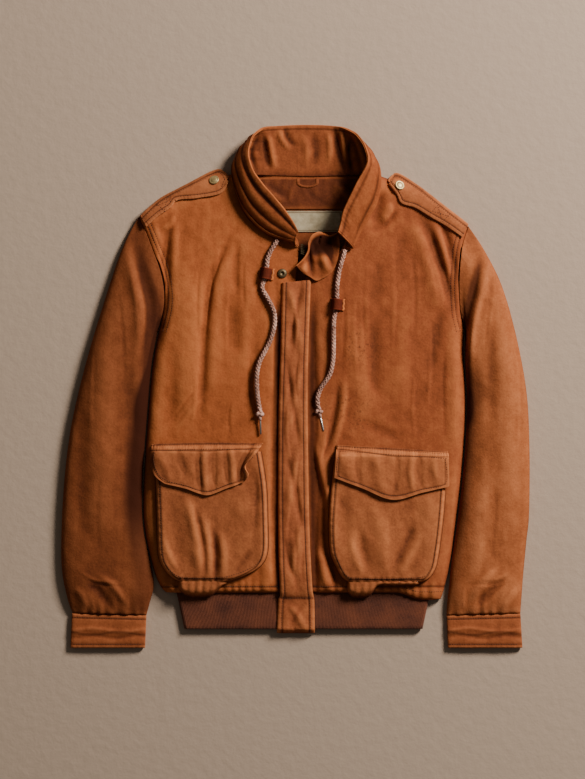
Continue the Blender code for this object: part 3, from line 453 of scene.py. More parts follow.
# Each fold is its width, its height and the points that it runs through.
FOLDS_LEFT = [
    (7, -2.6, [(-88, 246), (-106, 205), (-124, 165), (-134, 100), (-138, 20), (-142, -80)]),
    (3, -1.0, [(-98, 220), (-118, 175), (-130, 120), (-134, 60)]),
    (26, 2.6, [(-166, 235), (-164, 120), (-160, 0), (-166, -90)]),
    (13, 1.3, [(-110, 225), (-116, 140), (-122, 50), (-124, -50)]),
    (6, -1.3, [(-86, 222), (-89, 180), (-88, 125)]), (9, -0.9, [(-92, 125), (-90, 75), (-82, 30)]),
    (12, 1.0, [(-70, 190), (-72, 110), (-76, 10)]), (11, -1.0, [(-60, 120), (-64, 40), (-72, -60)]),
    (8, -3.0, [(-184, 262), (-192, 200), (-198, 140), (-208, 40)]),
    (7, 1.8, [(-176, 255), (-183, 215), (-186, 160)]),
    (4, 1.5, [(-180, 258), (-190, 240), (-204, 236)]), (8, 2.0, [(-209, 246), (-210, 214), (-206, 180)]),
    (6, -4.0, [(-27, 190), (-28, 60), (-30, -100), (-30, -380)]),
    (10, 1.5, [(-42, -40), (-43, -140), (-42, -250), (-41, -360)]),
    (10, -1.0, [(-186, 60), (-184, -20), (-190, -90)]),
]
FOLDS_RIGHT = [
    (9, -3.4, [(180, 268), (198, 232), (213, 190), (226, 155), (238, 100)]),
    (7, -2.4, [(217, 252), (229, 210), (243, 150)]), (6, 2.6, [(205, 250), (219, 214), (234, 160)]),
    (13, 2.4, [(172, 255), (190, 220), (206, 170), (218, 100)]),
    (8, -2.0, [(132, 298), (124, 270), (118, 236)]), (5, 1.8, [(143, 278), (139, 262), (128, 244)]),
    (6, -1.5, [(156, 270), (134, 243), (104, 232)]),
    (13, -1.1, [(134, 200), (124, 160), (118, 110)]), (10, -1.1, [(168, 240), (159, 212), (154, 170)]),
    (9, -1.3, [(121, 120), (118, 50), (122, -30)]), (9, -1.2, [(216, 120), (209, 65), (200, 10)]),
    (17, 1.7, [(82, 130), (92, 40), (104, -70)]), (14, 1.2, [(158, 150), (160, 60), (156, -60)]),
    (6, -3.2, [(30, 170), (26, 20), (28, -150), (32, -380)]),
    (9, 1.6, [(44, -60), (43, -140), (46, -240), (50, -340)]),
    (6, 2.0, [(74, 20), (68, -35), (54, -100)]), (5, -2.2, [(66, 10), (58, -50), (42, -115)]),
    (5, 2.6, [(22, -50), (36, -120), (50, -170), (52, -240)]),
    (7, -2.4, [(26, -90), (39, -150), (43, -210), (38, -290)]),
    (5, 2.0, [(32, -230), (40, -270), (52, -320)]), (5, -1.8, [(44, -220), (50, -262), (66, -310)]),
    (9, -1.2, [(92, -50), (130, -68), (168, -80)]), (10, 1.5, [(234, 120), (238, 0), (234, -110)]),
]
CREASES_LEFT = [
    (2.6, 0.6, [(-112, 214), (-120, 180), (-122, 130)]), (2.4, -0.6, [(-142, 190), (-147, 130), (-146, 60)]),
    (2.6, 0.5, [(-100, 160), (-104, 100), (-103, 40)]), (2.2, -0.6, [(-76, 200), (-78, 160), (-75, 110)]),
    (2.4, -0.8, [(-196, 225), (-203, 180), (-206, 120)]), (2.2, 0.7, [(-188, 215), (-193, 165), (-196, 110)]),
    (2.2, -0.7, [(-190, -60), (-168, -28), (-142, 4)]), (2.4, 0.6, [(-178, -66), (-156, -34), (-130, -8)]),
    (2.2, 0.6, [(-152, 40), (-150, -10), (-156, -70)]), (2.2, -0.6, [(-66, 60), (-70, 10), (-66, -50)]),
    (2.4, 0.7, [(-218, -110), (-214, -200), (-206, -280)]), (2.2, 0.7, [(-36, 150), (-35, 40), (-37, -90)]),
    (2.0, -0.7, [(-35, -110), (-38, -200), (-34, -300)]), (2.2, -0.6, [(-96, -20), (-100, -50), (-96, -80)]),
]
CREASES_RIGHT = [
    (2.4, 0.8, [(214, 236), (226, 190), (236, 130)]), (2.2, -0.7, [(190, 215), (206, 175), (220, 110)]),
    (2.6, -0.6, [(174, 210), (180, 140), (178, 70)]), (2.4, 0.5, [(146, 190), (148, 110), (144, 30)]),
    (2.4, -0.5, [(104, 190), (102, 110), (108, 30)]), (2.2, 0.6, [(90, 150), (88, 80), (94, -10)]),
    (2.4, -0.6, [(72, 170), (74, 90), (70, 10)]), (2.4, 0.6, [(200, 110), (202, 30), (196, -60)]),
    (2.2, -0.6, [(226, 70), (222, -10), (226, -80)]), (2.2, 0.6, [(180, 20), (176, -40), (182, -86)]),
    (2.0, 0.8, [(48, -50), (43, -85), (33, -130)]), (2.0, -0.8, [(60, -20), (50, -75), (36, -130)]),
    (2.2, 0.7, [(242, -90), (236, -180), (226, -270)]), (2.0, -0.7, [(74, 10), (64, -40), (52, -90)]),
]


def ease(t):
    """0 up to 0, 1 from 1 on, and a soft rise between them."""
    t = np.clip(t, 0, 1)
    return t * t * (3 - 2 * t)


def rounded(distance, radius):
    """How far up a rounded edge has risen, from 0 at the edge to 1 past its radius."""
    return np.sqrt(1 - (1 - np.clip(distance / radius, 0, 1)) ** 2)


def near(value, place, spread):
    """A soft bump of 1 at a place, which fades to both sides."""
    return np.exp(-((value - place) / spread) ** 2)


def fading(distance, reach):
    """1 at an edge, and less and less away from it."""
    return np.exp(-distance / reach)


def between(a, b, share):
    """The value that lies at a share of the way from one to the other."""
    return a + (b - a) * share


def steps(length, wide=CELL, narrow=0.7):
    """Fractions from 0 to 1, close together near both ends of a length and wider apart in its middle."""
    places = [0.0]
    while places[-1] < length:
        to_end = min(places[-1], length - places[-1])
        places.append(places[-1] + min(wide, narrow + 0.2 * to_end))
    return np.array(places) / places[-1]


def ridges(x, y, lines, hollow=0.0):
    """Soft ridges and troughs along smooth lines, faded at both ends, with a fainter hollow on the left."""
    total = np.zeros_like(x)
    for width, height, points in lines:
        line = along(points, np.linspace(0, 1, 3 * len(points) + 1))
        nearest = np.full(x.shape, 1e9)
        side = np.zeros_like(x)
        share = np.zeros_like(x)
        for k, ((x0, y0), (x1, y1)) in enumerate(zip(line, line[1:])):
            dx, dy = x1 - x0, y1 - y0
            t = np.clip(((x - x0) * dx + (y - y0) * dy) / (dx * dx + dy * dy), 0, 1)
            away_x, away_y = x - x0 - dx * t, y - y0 - dy * t
            distance = np.hypot(away_x, away_y)
            closer = distance < nearest
            side = np.where(closer, np.sign(dx * away_y - dy * away_x) * distance, side)
            share = np.where(closer, (k + t) / (len(line) - 1), share)
            nearest = np.where(closer, distance, nearest)
        spread = width * (0.75 + 0.35 * np.sin(np.pi * share))
        fade = ease(share / 0.35) * ease((1 - share) / 0.35)
        crest = np.exp(-(nearest / spread) ** 2) - hollow * np.exp(-(side / spread - 1.5) ** 2)
        total += height * fade * crest
    return total


def unrest(x, y, size, seed):
    """The slight unevenness of soft leather, from -1 to 1, as crossing waves that never line up."""
    a = np.sin(x / size + 1.7 * np.sin(y / (1.9 * size) + seed) + seed)
    b = np.sin(y / (1.3 * size) + 1.3 * np.sin(x / (1.4 * size) - 2 * seed))
    c = np.sin((x + y) / (0.8 * size) + 1.1 * np.sin((x - y) / (1.7 * size) + 3 * seed))
    return (a + b + 0.7 * c) / 2.7


def softened(values, turns):
    """A grid of values with its small bumps taken out."""
    for turn in range(turns):
        wide = np.pad(values, ((0, 0), (1, 1)), mode="edge")
        values = 0.25 * wide[:, :-2] + 0.5 * values + 0.25 * wide[:, 2:]
        tall = np.pad(values, ((1, 1), (0, 0)), mode="edge")
        values = 0.25 * tall[:-2] + 0.5 * values + 0.25 * tall[2:]
    return values


def shell(name, grid, material, node, wall, outwards, wraps=False, relief=0.0, wear_and_shade=0.0):
    """A thin shell from a grid of points in millimetres, with marks that its material reads: wear, and
    painted shade and light.
    """
    rows, columns = grid.shape[:2]
    index = np.arange(rows * columns).reshape(rows, columns)
    ahead = np.roll(index, -1, axis=1) if wraps else index[:, 1:]
    here = index if wraps else index[:, :-1]
    faces = np.stack([here[:-1], ahead[:-1], ahead[1:], here[1:]], axis=-1).reshape(-1, 4)
    piece = mesh_piece(name, grid.reshape(-1, 3), faces, material, node)
    # The relief mark is painted as shade in troughs and light on ridges; the other holds wear, dark seams and
    # painted shade.
    for label, values in (("relief", relief), ("wear_and_shade", wear_and_shade)):
        mark = piece.data.attributes.new(label, "FLOAT", "POINT")
        mark.data.foreach_set("value", np.broadcast_to(values, index.shape).astype(np.float32).ravel())
    solid = piece.modifiers.new("wall", "SOLIDIFY")
    solid.thickness = wall * MM
    solid.offset = outwards
    return piece


def nubuck(name, light, middle, dark, stains=()):
    """Cow leather sanded to a short nap and long worn: paler where it rubs, darker in seams, with painted
    shade and light in its folds.
    """
    material, shading, shader, place = new_material(name, 0.85)
    shader.inputs["Specular IOR Level"].default_value = 0.12
    clouds = add_node(shading, NOISE, {"Vector": place, "Scale": 12.0, "Detail": 5.0, "Roughness": 0.6})
    mottle = add_node(shading, NOISE, {"Vector": place, "Scale": 80.0, "Detail": 7.0, "Roughness": 0.65})
    drawn = add_node(shading, "ShaderNodeMapping", {"Vector": place, "Scale": (110.0, 16.0, 60.0)})
    rubs = add_node(shading, NOISE, {"Vector": drawn, "Scale": 1.0, "Detail": 5.0, "Roughness": 0.6})
    relief = add_node(shading, "ShaderNodeAttribute", attribute_name="relief").outputs["Fac"]
    wear_and_shade = add_node(shading, "ShaderNodeAttribute", attribute_name="wear_and_shade").outputs["Fac"]
    pores = add_node(shading, NOISE, {"Vector": place, "Scale": 300.0, "Detail": 4.0, "Roughness": 0.6})
    tone = add_node(shading, MATH, {0: clouds, 1: 0.55, 2: -0.3}, operation="MULTIPLY_ADD")
    tone = add_node(shading, MATH, {0: mottle, 1: 0.4, 2: tone}, operation="MULTIPLY_ADD")
    tone = add_node(shading, MATH, {0: rubs, 1: 0.3, 2: tone}, operation="MULTIPLY_ADD")
    tone = add_node(shading, MATH, {0: pores, 1: 0.35, 2: tone}, operation="MULTIPLY_ADD")
    # Painted shade and light: the relief mark darkens the troughs of folds and lightens their ridges.
    tone = add_node(shading, MATH, {0: relief, 1: 0.13, 2: tone}, operation="MULTIPLY_ADD")
    colours = add_node(shading, "ShaderNodeValToRGB", {0: tone})
    ramp = colours.color_ramp
    ramp.elements[0].position = 0.12
    ramp.elements[0].color = linear(dark)
    ramp.elements[1].position = 0.95
    ramp.elements[1].color = linear(light)
    ramp.elements.new(0.5).color = linear(middle)
    rubbed = add_node(shading, MATH, {0: wear_and_shade, 1: mottle}, operation="MULTIPLY")
    rubbed = add_node(shading, MATH, {0: rubbed, 1: 1.3}, operation="MULTIPLY", use_clamp=True)
    colour = add_node(shading, MIX, {0: rubbed, 6: colours, 7: linear(light)}, data_type="RGBA").outputs[2]
    # Where the second mark is below zero the leather turns dark: at its seams, and as painted shade in
    # hollows and shadows.
    dirt_and_shade = add_node(shading, MATH, {0: wear_and_shade, 1: -0.85}, operation="MULTIPLY", use_clamp=True)
    colour = add_node(shading, MIX, {0: dirt_and_shade, 6: colour, 7: linear(DIRT_AND_SHADE)}, data_type="RGBA").outputs[2]
    for x, y, radius, strength in stains:
        off = add_node(shading, VECTOR_MATH, {0: place, 1: (x * MM, y * MM, 0.015)}, operation="DISTANCE")
        patch = add_node(shading, "ShaderNodeMapRange",
                         {"Value": off.outputs["Value"], "From Min": radius * MM,
                          "From Max": 0.3 * radius * MM, "To Max": strength})
        specks = add_node(shading, NOISE, {"Vector": place, "Scale": 170.0, "Detail": 4.0, "Roughness": 0.7})
        dots = add_node(shading, "ShaderNodeMapRange", {"Value": specks, "From Min": 0.54, "From Max": 0.66})
        share = add_node(shading, MATH, {0: patch, 1: dots}, operation="MULTIPLY")
        colour = add_node(shading, MIX, {0: share, 6: colour, 7: linear(STAIN)}, data_type="RGBA").outputs[2]
    nap = add_node(shading, NOISE, {"Vector": place, "Scale": 900.0, "Detail": 3.0})
    rough = add_node(shading, MATH, {0: nap, 1: 0.5, 2: pores}, operation="MULTIPLY_ADD")
    dress(shading, shader, colour, rough, 0.7, 0.0006)
    return material


def x_at(line, heights_up):
    """Where a line that runs up the body passes each height."""
    fine = along(line, np.linspace(0, 1, 200))
    return np.interp(heights_up, fine[:, 1], fine[:, 0])


def armhole_level(fraction):
    """The lining side of the body along an armhole, from the underarm at 0 to the shoulder's end at 1."""
    rise = np.sin(np.pi * np.minimum(fraction * 0.62 + 0.06, 1.0)) ** 0.8
    fall = 1 - 0.75 * ease((fraction - 0.72) / 0.28)
    return LOW_EDGE + BODY_RISE * rise * fall * ease(fraction / 0.12 + 0.1)


def pulled_in(points, amount):
    """Points moved towards the middle of the neck."""
    places = np.array(points, float)
    way = np.array(RING_MIDDLE, float) - places
    return [tuple(p) for p in places + way / np.linalg.norm(way, axis=1)[:, None] * amount]


def front_grid(side, armhole, centre, neck, shoulder, big, small, seed):
    """A front's lining side in rows from the side or armhole to the centre or the neckline."""
    outwards = np.sign(side[0][0])
    low = steps(UNDERARM_Y - HEM_Y, CELL, 1.0)
    y = between(HEM_Y, UNDERARM_Y, low)
    outer_low = np.column_stack([x_at(side, y) - outwards * LEATHER_WALL, y])
    inner_low = np.column_stack([np.full_like(y, centre), y])
    high = steps(210.0, CELL, 1.0)[1:]
    outer_high = along(armhole, high)
    outer_high[:, 0] -= outwards * between(LEATHER_WALL, 1.3, ease(high / 0.25))
    zip_edge = [(centre, UNDERARM_Y), (centre, 0.5 * (UNDERARM_Y + neck[0][1]))]
    inner_high = along(zip_edge + neck + [shoulder], high)
    outer = np.vstack([outer_low, outer_high])[:, None]
    inner = np.vstack([inner_low, inner_high])[:, None]
    u = steps(240.0, CELL, 0.7)[None, :, None]
    place = outer + (inner - outer) * u
    x, y = place[..., 0], place[..., 1]
    u = u[..., 0]
    lows = np.concatenate([low, np.full(len(high), 1.0)])[:, None]
    highs = np.concatenate([np.zeros(len(low)), high])[:, None]
    is_low = highs == 0
    corner = ease((np.abs(x) - 150) / 40) if outwards > 0 else 0.0
    y = y + SHOULDER_BULGE * highs ** 4 * np.sin(np.pi * u)
    y = y - np.where(is_low & (lows < 0.1), 11 * corner * (1 - lows / 0.1), 0)
    width = np.linalg.norm(inner - outer, axis=2)
    chest = 2.5 * np.exp(-(((np.abs(x) - 120) / 90) ** 2) - ((y - 110) / 120) ** 2)
    level = BODY_RISE + 1.5 + chest + 3.0 * near(y, -270, 55) - 3.0 * near(x, 0.0, 24)
    drape = FOLD_DEPTH * ridges(x, y, big)
    detail = CREASE_DEPTH * ridges(x, y, small, hollow=0.45)
    detail += 0.55 * unrest(x, y, 13.0, seed) + 0.3 * unrest(x, y, 5.0, seed + 2)
    gathers = np.sin(x / 1.9 + 1.5 * np.sin(x / 13.0)) * np.exp(-np.clip(y - HEM_Y - 4, 0, None) / 12.0)
    level = level + drape + detail + 0.9 * gathers
    edge = np.where(is_low, LOW_EDGE, armhole_level(highs))
    seam = u * width
    level = between(edge, level, rounded(seam, 17.0))
    foot = between(LOW_EDGE, RIB_TOP + 0.6, rounded(seam, 9.0))
    hemmed = between(foot, np.maximum(level, foot), rounded(lows * (UNDERARM_Y - HEM_Y), 9.0))
    down = (1 - highs) * 0.9 * (shoulder[1] - UNDERARM_Y)
    sloped = between(LOW_EDGE, level, rounded(down, 20.0))
    level = np.where(is_low, hemmed, sloped)
    stitched = near(seam, 5.0, 1.5) + near(seam, 10.5, 1.5)
    level = level - 0.6 * np.where(is_low, 0, stitched)
    hem_seam = near(y, HEM_Y + 8.0, 1.5)
    level = level - 0.6 * hem_seam * rounded(seam, 12.0)
    # Painted shade and light: the relief darkens the troughs of the folds and lightens their ridges.
    relief = np.clip(1.2 * (level - softened(level, 24)) + 0.25 * drape, -1.6, 1.4)
    wear_and_shade = near(seam, 7.5, 3.5) * np.where(is_low, 0, 0.5) + 0.6 * near(y, HEM_Y, 5.0)
    wear_and_shade = wear_and_shade - 0.6 * np.where(is_low, 0, stitched) - 0.9 * hem_seam
    # Painted shade: a dark band down each side of the placket, deeper on the left, where the front lies in
    # its shade.
    placket_shade = near(np.abs(x), 25.0, 6.0) * ease((150 - y) / 60)
    wear_and_shade = wear_and_shade - (1.2 if outwards < 0 else 0.9) * placket_shade
    return np.stack([x, y, level], axis=-1), relief, np.clip(wear_and_shade, -1.2, 1.2)


leather_left = nubuck("brown_nubuck_fronts", "#c97540", "#a4562c", "#6c3418")
leather_right = nubuck("brown_nubuck_fronts_stained", "#be6d3c", "#954c29", "#5f2e17",
                       stains=[(92, 60, 38, 0.75), (80, -40, 60, 0.6), (200, 10, 40, 0.3)])
leather_back = nubuck("brown_nubuck_back", "#b56a3c", "#8e4a26", "#5f2c15")

neck_left = pulled_in(NECK_LEFT, NECK_LAP)
grid, relief, wear_and_shade = front_grid(SIDE_LEFT, ARMHOLE_LEFT, -1.0, neck_left, SHOULDER_NECK_LEFT,
                                FOLDS_LEFT, CREASES_LEFT, 1.0)
front_left = shell("front_left_shell", grid, leather_left, "front_left", LEATHER_WALL, 1.0,
                   relief=relief, wear_and_shade=wear_and_shade)

neck_right = [(12, 158), (38, 176), (60, 193)] + pulled_in(NECK_RIGHT, NECK_LAP)
grid, relief, wear_and_shade = front_grid(SIDE_RIGHT, ARMHOLE_RIGHT, 1.0, neck_right, SHOULDER_NECK_RIGHT,
                                FOLDS_RIGHT, CREASES_RIGHT, 4.0)
front_right = shell("front_right_shell", grid[:, ::-1], leather_right, "front_right",
                    LEATHER_WALL, 1.0, relief=relief[:, ::-1], wear_and_shade=wear_and_shade[:, ::-1])


def back_edge(side, armhole, end):
    """The back's edge from the hem past the underarm and up the armhole to the neck."""
    y = np.linspace(RIB_TOP_Y + 0.5, UNDERARM_Y, 66)
    low = np.column_stack([x_at(side, y), y])
    high = along(armhole, np.linspace(0, 1, 32))[1:]
    slope = along([armhole[-1], end], np.linspace(0, 1, 24))[1:]
    return np.vstack([low, high, slope])[:, None]


CREASES_BACK = [
    (4.0, 0.5, [(-150, 200), (-120, 80), (-140, -60)]), (3.5, 0.5, [(-60, 240), (-40, 120), (-60, 0)]),
    (4.0, 0.5, [(40, 260), (70, 140), (50, 20)]), (3.5, 0.5, [(150, 220), (170, 100), (150, -20)]),
    (4.0, 0.5, [(-180, -60), (-150, -180), (-170, -280)]), (3.5, 0.5, [(0, -60), (20, -180), (0, -280)]),
    (4.0, 0.5, [(100, -80), (90, -190), (110, -280)]), (3.5, 0.5, [(200, -40), (190, -160), (205, -270)]),
]
left_edge = back_edge(SIDE_LEFT, ARMHOLE_LEFT, SHOULDER_NECK_LEFT) + (0.6, 0.0)
right_edge = back_edge(SIDE_RIGHT, ARMHOLE_RIGHT, SHOULDER_NECK_RIGHT) - (0.6, 0.0)
flat = left_edge + (right_edge - left_edge) * np.linspace(0, 1, 84)[None, :, None]
under = np.maximum(ridges(flat[..., 0], flat[..., 1], CREASES_BACK), 0.0)
grid = np.dstack([flat, under])
# Painted shade: the back is darkened round a spot just below the throat, where it lies deep in shade.
back = shell("back_shell", grid, leather_back, "back_panel", LEATHER_WALL, 1.0,
             relief=-2.0 * under,
             wear_and_shade=-1.3 * np.exp(-((flat[..., 0] - 14) / 22) ** 2 - ((flat[..., 1] - 203) / 20) ** 2))

# Sleeves
# Each sleeve is a tube of the same nubuck, set into the armhole, with long soft folds down the arm and
# small pleats where it is gathered into its cuff. The cuffs are straight bands of two layers, topstitched
# at both edges.
SLEEVE_LENGTH = 620.0
SLEEVE_RISE = 25.0
CUFF_LENGTH = 50.0
CUFF_RISE = 9.6
CUFF_SIDE = 5.0
SLEEVE_GAP = 1.6
UNDERARM_FAN = 5.0
TRIM_WALL = 1.5
SLEEVE_OUTER_LEFT = [(-235.5, 254), (-262, 202), (-296, 99), (-319, 19), (-337, -60), (-347, -138),
                     (-351.5, -217), (-351, -275), (-343, -317), (-335, -341)]
SLEEVE_OUTER_RIGHT = [(260, 240), (284, 204), (310, 151), (331, 78), (347, -8), (351.5, -92),
                      (351, -190), (347, -232), (342, -285), (338, -341)]
INNER_END_LEFT = [(-213, -300), (-219, -325), (-224, -344)]
INNER_END_RIGHT = [(231, -300), (228, -325), (227, -344)]
FOLDS_SLEEVE_LEFT = [
    (11, -4.5, [(-240, 250), (-230, 180), (-214, 115), (-216, 40), (-226, -90)]),
    (8, 2.6, [(-262, 240), (-247, 180), (-232, 115), (-238, 30)]),
    (20, 2.4, [(-276, 160), (-286, 40), (-290, -100), (-284, -260)]),
    (14, -1.6, [(-250, 60), (-246, -60), (-246, -220)]), (12, -1.4, [(-318, 0), (-322, -110), (-318, -250)]),
    (6, -1.8, [(-318, -292), (-296, -306), (-272, -340)]),
    (5, 1.8, [(-300, -280), (-272, -300), (-250, -334)]),
    (6, 1.4, [(-338, -300), (-322, -312), (-308, -340)]),
]
FOLDS_SLEEVE_RIGHT = [
    (7, -3.2, [(280, 208), (268, 155), (256, 100), (254, 40)]),
    (7, 2.6, [(292, 200), (279, 145), (265, 90), (260, 20)]),
    (18, 1.8, [(306, 170), (318, 40), (322, -90), (312, -240)]),
    (14, -1.8, [(270, 60), (268, -60), (262, -190)]),
    (9, -1.2, [(296, 120), (294, 20), (290, -90)]), (12, 1.5, [(284, -120), (276, -210), (262, -310)]),
    (6, -1.8, [(322, -288), (298, -304), (268, -334)]), (5, 1.8, [(306, -268), (284, -290), (258, -326)]),
    (6, 1.4, [(340, -296), (326, -312), (308, -340)]),
]
CREASES_SLEEVE_LEFT = [
    (2.6, 0.6, [(-252, 200), (-240, 130), (-236, 60)]), (2.6, -0.6, [(-268, 160), (-258, 80), (-254, -10)]),
    (2.6, 0.5, [(-300, 90), (-306, 0), (-306, -110)]),
    (2.4, -0.5, [(-290, -100), (-296, -190), (-290, -270)]),
    (2.2, 0.7, [(-332, -270), (-300, -290), (-262, -292)]),
    (2.0, -0.8, [(-322, -282), (-296, -296), (-250, -300)]),
    (2.0, 0.8, [(-316, -304), (-304, -322), (-300, -342)]),
    (2.0, -0.8, [(-284, -300), (-276, -322), (-276, -344)]),
    (2.0, 0.8, [(-254, -296), (-250, -320), (-254, -342)]),
]
CREASES_SLEEVE_RIGHT = [
    (2.4, 0.7, [(276, 208), (268, 160), (256, 110)]), (2.6, -0.6, [(298, 190), (290, 120), (282, 40)]),
    (2.6, 0.5, [(326, 90), (334, 0), (334, -110)]), (2.4, -0.5, [(296, -110), (300, -190), (292, -270)]),
    (2.2, 0.7, [(334, -268), (304, -288), (266, -288)]), (2.0, -0.8, [(326, -282), (300, -296), (254, -296)]),
    (2.0, 0.8, [(318, -304), (306, -322), (304, -342)]), (2.0, -0.8, [(286, -300), (278, -322), (280, -344)]),
    (2.0, 0.8, [(256, -294), (252, -320), (256, -342)]),
]
# Painted light: the left sleeve's leather is a darker copy for painted shade, the right's a lighter one for
# painted light.
leather_sleeves = {"left": nubuck("brown_nubuck_sleeve_left_painted_shade", "#a65e35", "#7f4222", "#4e2310"),
                   "right": nubuck("brown_nubuck_sleeve_right_painted_light", "#c87848", "#9f572f", "#622e17")}
leather_cuffs = nubuck("brown_nubuck_cuffs", "#bf7042", "#98512c", "#602d17")


def rim(w, width, radius):
    """How far a tube's flat underside has come down from its side edge."""
    return 1 - rounded(np.minimum(w, 1 - w) * width, radius)


def sleeve_grid(outer, side, inner_end, armhole, big, small, seed):
    """A sleeve's outer face in rings from armhole to cuff: the top from outside in, then the underside."""
    outwards = np.sign(outer[0][0])
    inner = [(x + outwards * SLEEVE_GAP, y) for x, y in side[:1:-1]] + inner_end
    run = steps(SLEEVE_LENGTH, CELL, 1.2)[:, None]
    over = 0.5 - 0.5 * np.cos(np.linspace(0, np.pi, 58))
    below = np.concatenate([[0.994, 0.982, 0.96], np.linspace(0.93, 0.07, 22), [0.04, 0.018, 0.006]])
    w = np.concatenate([over, below])[None, :]
    top = np.arange(w.size) < over.size
    a = along(outer, run[:, 0])[:, None]
    b = along(inner, run[:, 0])[:, None]
    place = a + (b - a) * w[..., None]
    straight = a[:1] + (b[:1] - a[:1]) * w[..., None]
    seam = along(armhole, 1 - w[0])[None] - straight
    seam[..., 0] += outwards * between(0.8, SLEEVE_GAP, w ** 8)
    place = place + seam * (1 - ease(run / 0.4))[..., None]
    fan = ease(run / 0.03) * (1 - ease(run / 0.35))
    place[..., 0] += outwards * UNDERARM_FAN * fan * np.sin(np.pi * w ** 4)
    x, y = place[..., 0], place[..., 1]
    dome = (1 - np.abs(2 * w - 1) ** 2.6) ** (1 / 2.6)
    full = 0.75 + 0.25 * np.sin(np.pi * np.minimum(run * 0.9 + 0.1, 1.0))
    swell = between(0.40, full, rounded(1.0 - run, 0.11))
    left_over = (1 - run) * SLEEVE_LENGTH
    pleats = 1.1 * np.sin(x / 2.6 + 1.4 * np.sin(x / 11.0 + seed)) * fading(left_over, 15.0)
    detail = ridges(x, y, small, hollow=0.45)
    detail += 0.6 * unrest(x, y, 14.0, seed) + 0.3 * unrest(x, y, 5.5, seed + 1)
    puckers = 0.35 * np.sin(w * 95.0) * fading(run * SLEEVE_LENGTH, 9.0)
    drape = FOLD_DEPTH * ridges(x, y, big)
    crest = CUFF_SIDE + (SLEEVE_RISE * swell - CUFF_SIDE + drape + detail + pleats) * dome
    level = between(armhole_level(1 - w) + LEATHER_WALL, crest, ease(run / 0.13)) + puckers * dome
    level = np.maximum(level, CUFF_SIDE)
    flat = CUFF_SIDE * rim(w, 120.0, 5.0) + 0.4 * np.maximum(unrest(x, y, 17.0, seed), 0.0)
    flat = flat + LEATHER_WALL * ease((w - 0.75) / 0.15) * (1 - ease((run - 0.02) / 0.06))
    level = np.where(top[None], level, flat)
    # Painted shade and light: the relief darkens the troughs of the folds and lightens their ridges.
    relief = np.where(top[None], 1.2 * (level - softened(level, 24)), 0.0)
    relief = np.where(top[None], np.clip(relief + 0.25 * drape * dome, -1.6, 1.4), -0.5)
    # Painted shadow: each sleeve's inner side, where the body shades it, is darkened, the left one more; and
    # painted shade fills the fold troughs near the armhole.
    from_body = 0.70 + 0.12 * ease((0.3 - run) / 0.15) if outwards < 0 else 0.78
    shadow = np.where(top[None], ease((w - from_body) / 0.16), 0.0)
    shadow = shadow * (1 - 0.55 * ease((run - 0.6) / 0.3)) * (1.15 if outwards < 0 else 0.75)
    hollow = np.clip(-0.22 * drape, 0.0, 0.8) * ease((0.4 - run) / 0.1) * np.where(top[None], 1.0, 0.0)
    wear_and_shade = 0.5 * near(left_over, 5.0, 4.0) - np.clip(shadow + hollow, 0.0, 1.2)
    grid = np.dstack([place, level])
    if outwards < 0:
        return grid[:, ::-1], relief[:, ::-1], wear_and_shade[:, ::-1]
    return grid, relief, wear_and_shade


def cuff_grid(outer_top, inner_top, outer_low, inner_low, seed):
    """A cuff's outer face: a straight band, with a row of stitching near both of its edges."""
    run = steps(CUFF_LENGTH, 2.0, 0.8)[:, None]
    over = 0.5 - 0.5 * np.cos(np.linspace(0, np.pi, 60))
    below = np.concatenate([[0.994, 0.98, 0.955], np.linspace(0.9, 0.1, 12), [0.045, 0.02, 0.006]])
    w = np.concatenate([over, below])[None, :]
    top = np.arange(w.size) < over.size
    a = np.array(outer_top, float) + (np.array(outer_low, float) - outer_top) * run
    b = np.array(inner_top, float) + (np.array(inner_low, float) - inner_top) * run
    place = a[:, None] + (b - a)[:, None] * w[..., None]
    x, y = place[..., 0], place[..., 1]
    dome = (1 - np.abs(2 * w - 1) ** 4) ** 0.25
    edge = np.minimum(run, 1 - run) * CUFF_LENGTH
    creased = 1.3 * np.exp(-((y + 366 + 2.5 * np.sin(x / 15.0)) / 3.0) ** 2)
    creased -= 1.2 * np.exp(-((y + 376 + 2.0 * np.sin(x / 11.0 + 1)) / 3.0) ** 2)
    detail = creased + 0.35 * unrest(x, y, 7.0, seed) - 0.5 * near(edge, 5.5, 1.3)
    detail += 0.3 * np.sin(x / 1.3) * fading(edge, 4.0) - 1.2 * (1 - rounded(edge, 2.5))
    level = CUFF_SIDE + (CUFF_RISE - CUFF_SIDE + 0.8 * np.sin(np.pi * run) + detail) * dome
    level = np.where(top[None], level, CUFF_SIDE * rim(w, 112.0, 5.0))
    relief = np.where(top[None], 1.5 * (level - softened(level, 12)), 0.0)
    wear_and_shade = 0.9 * fading(edge, 2.5) - 1.0 * near(edge, 5.5, 1.2)
    # Painted shade: a dark line along the crease across the middle of the cuff.
    wear_and_shade = wear_and_shade - 0.7 * np.exp(-((y + 371 + 2.5 * np.sin(x / 13.0)) / 2.0) ** 2)
    grid = np.dstack([place, level])
    if outer_top[0] < 0:
        return grid[:, ::-1], relief[:, ::-1], wear_and_shade[:, ::-1]
    return grid, relief, wear_and_shade


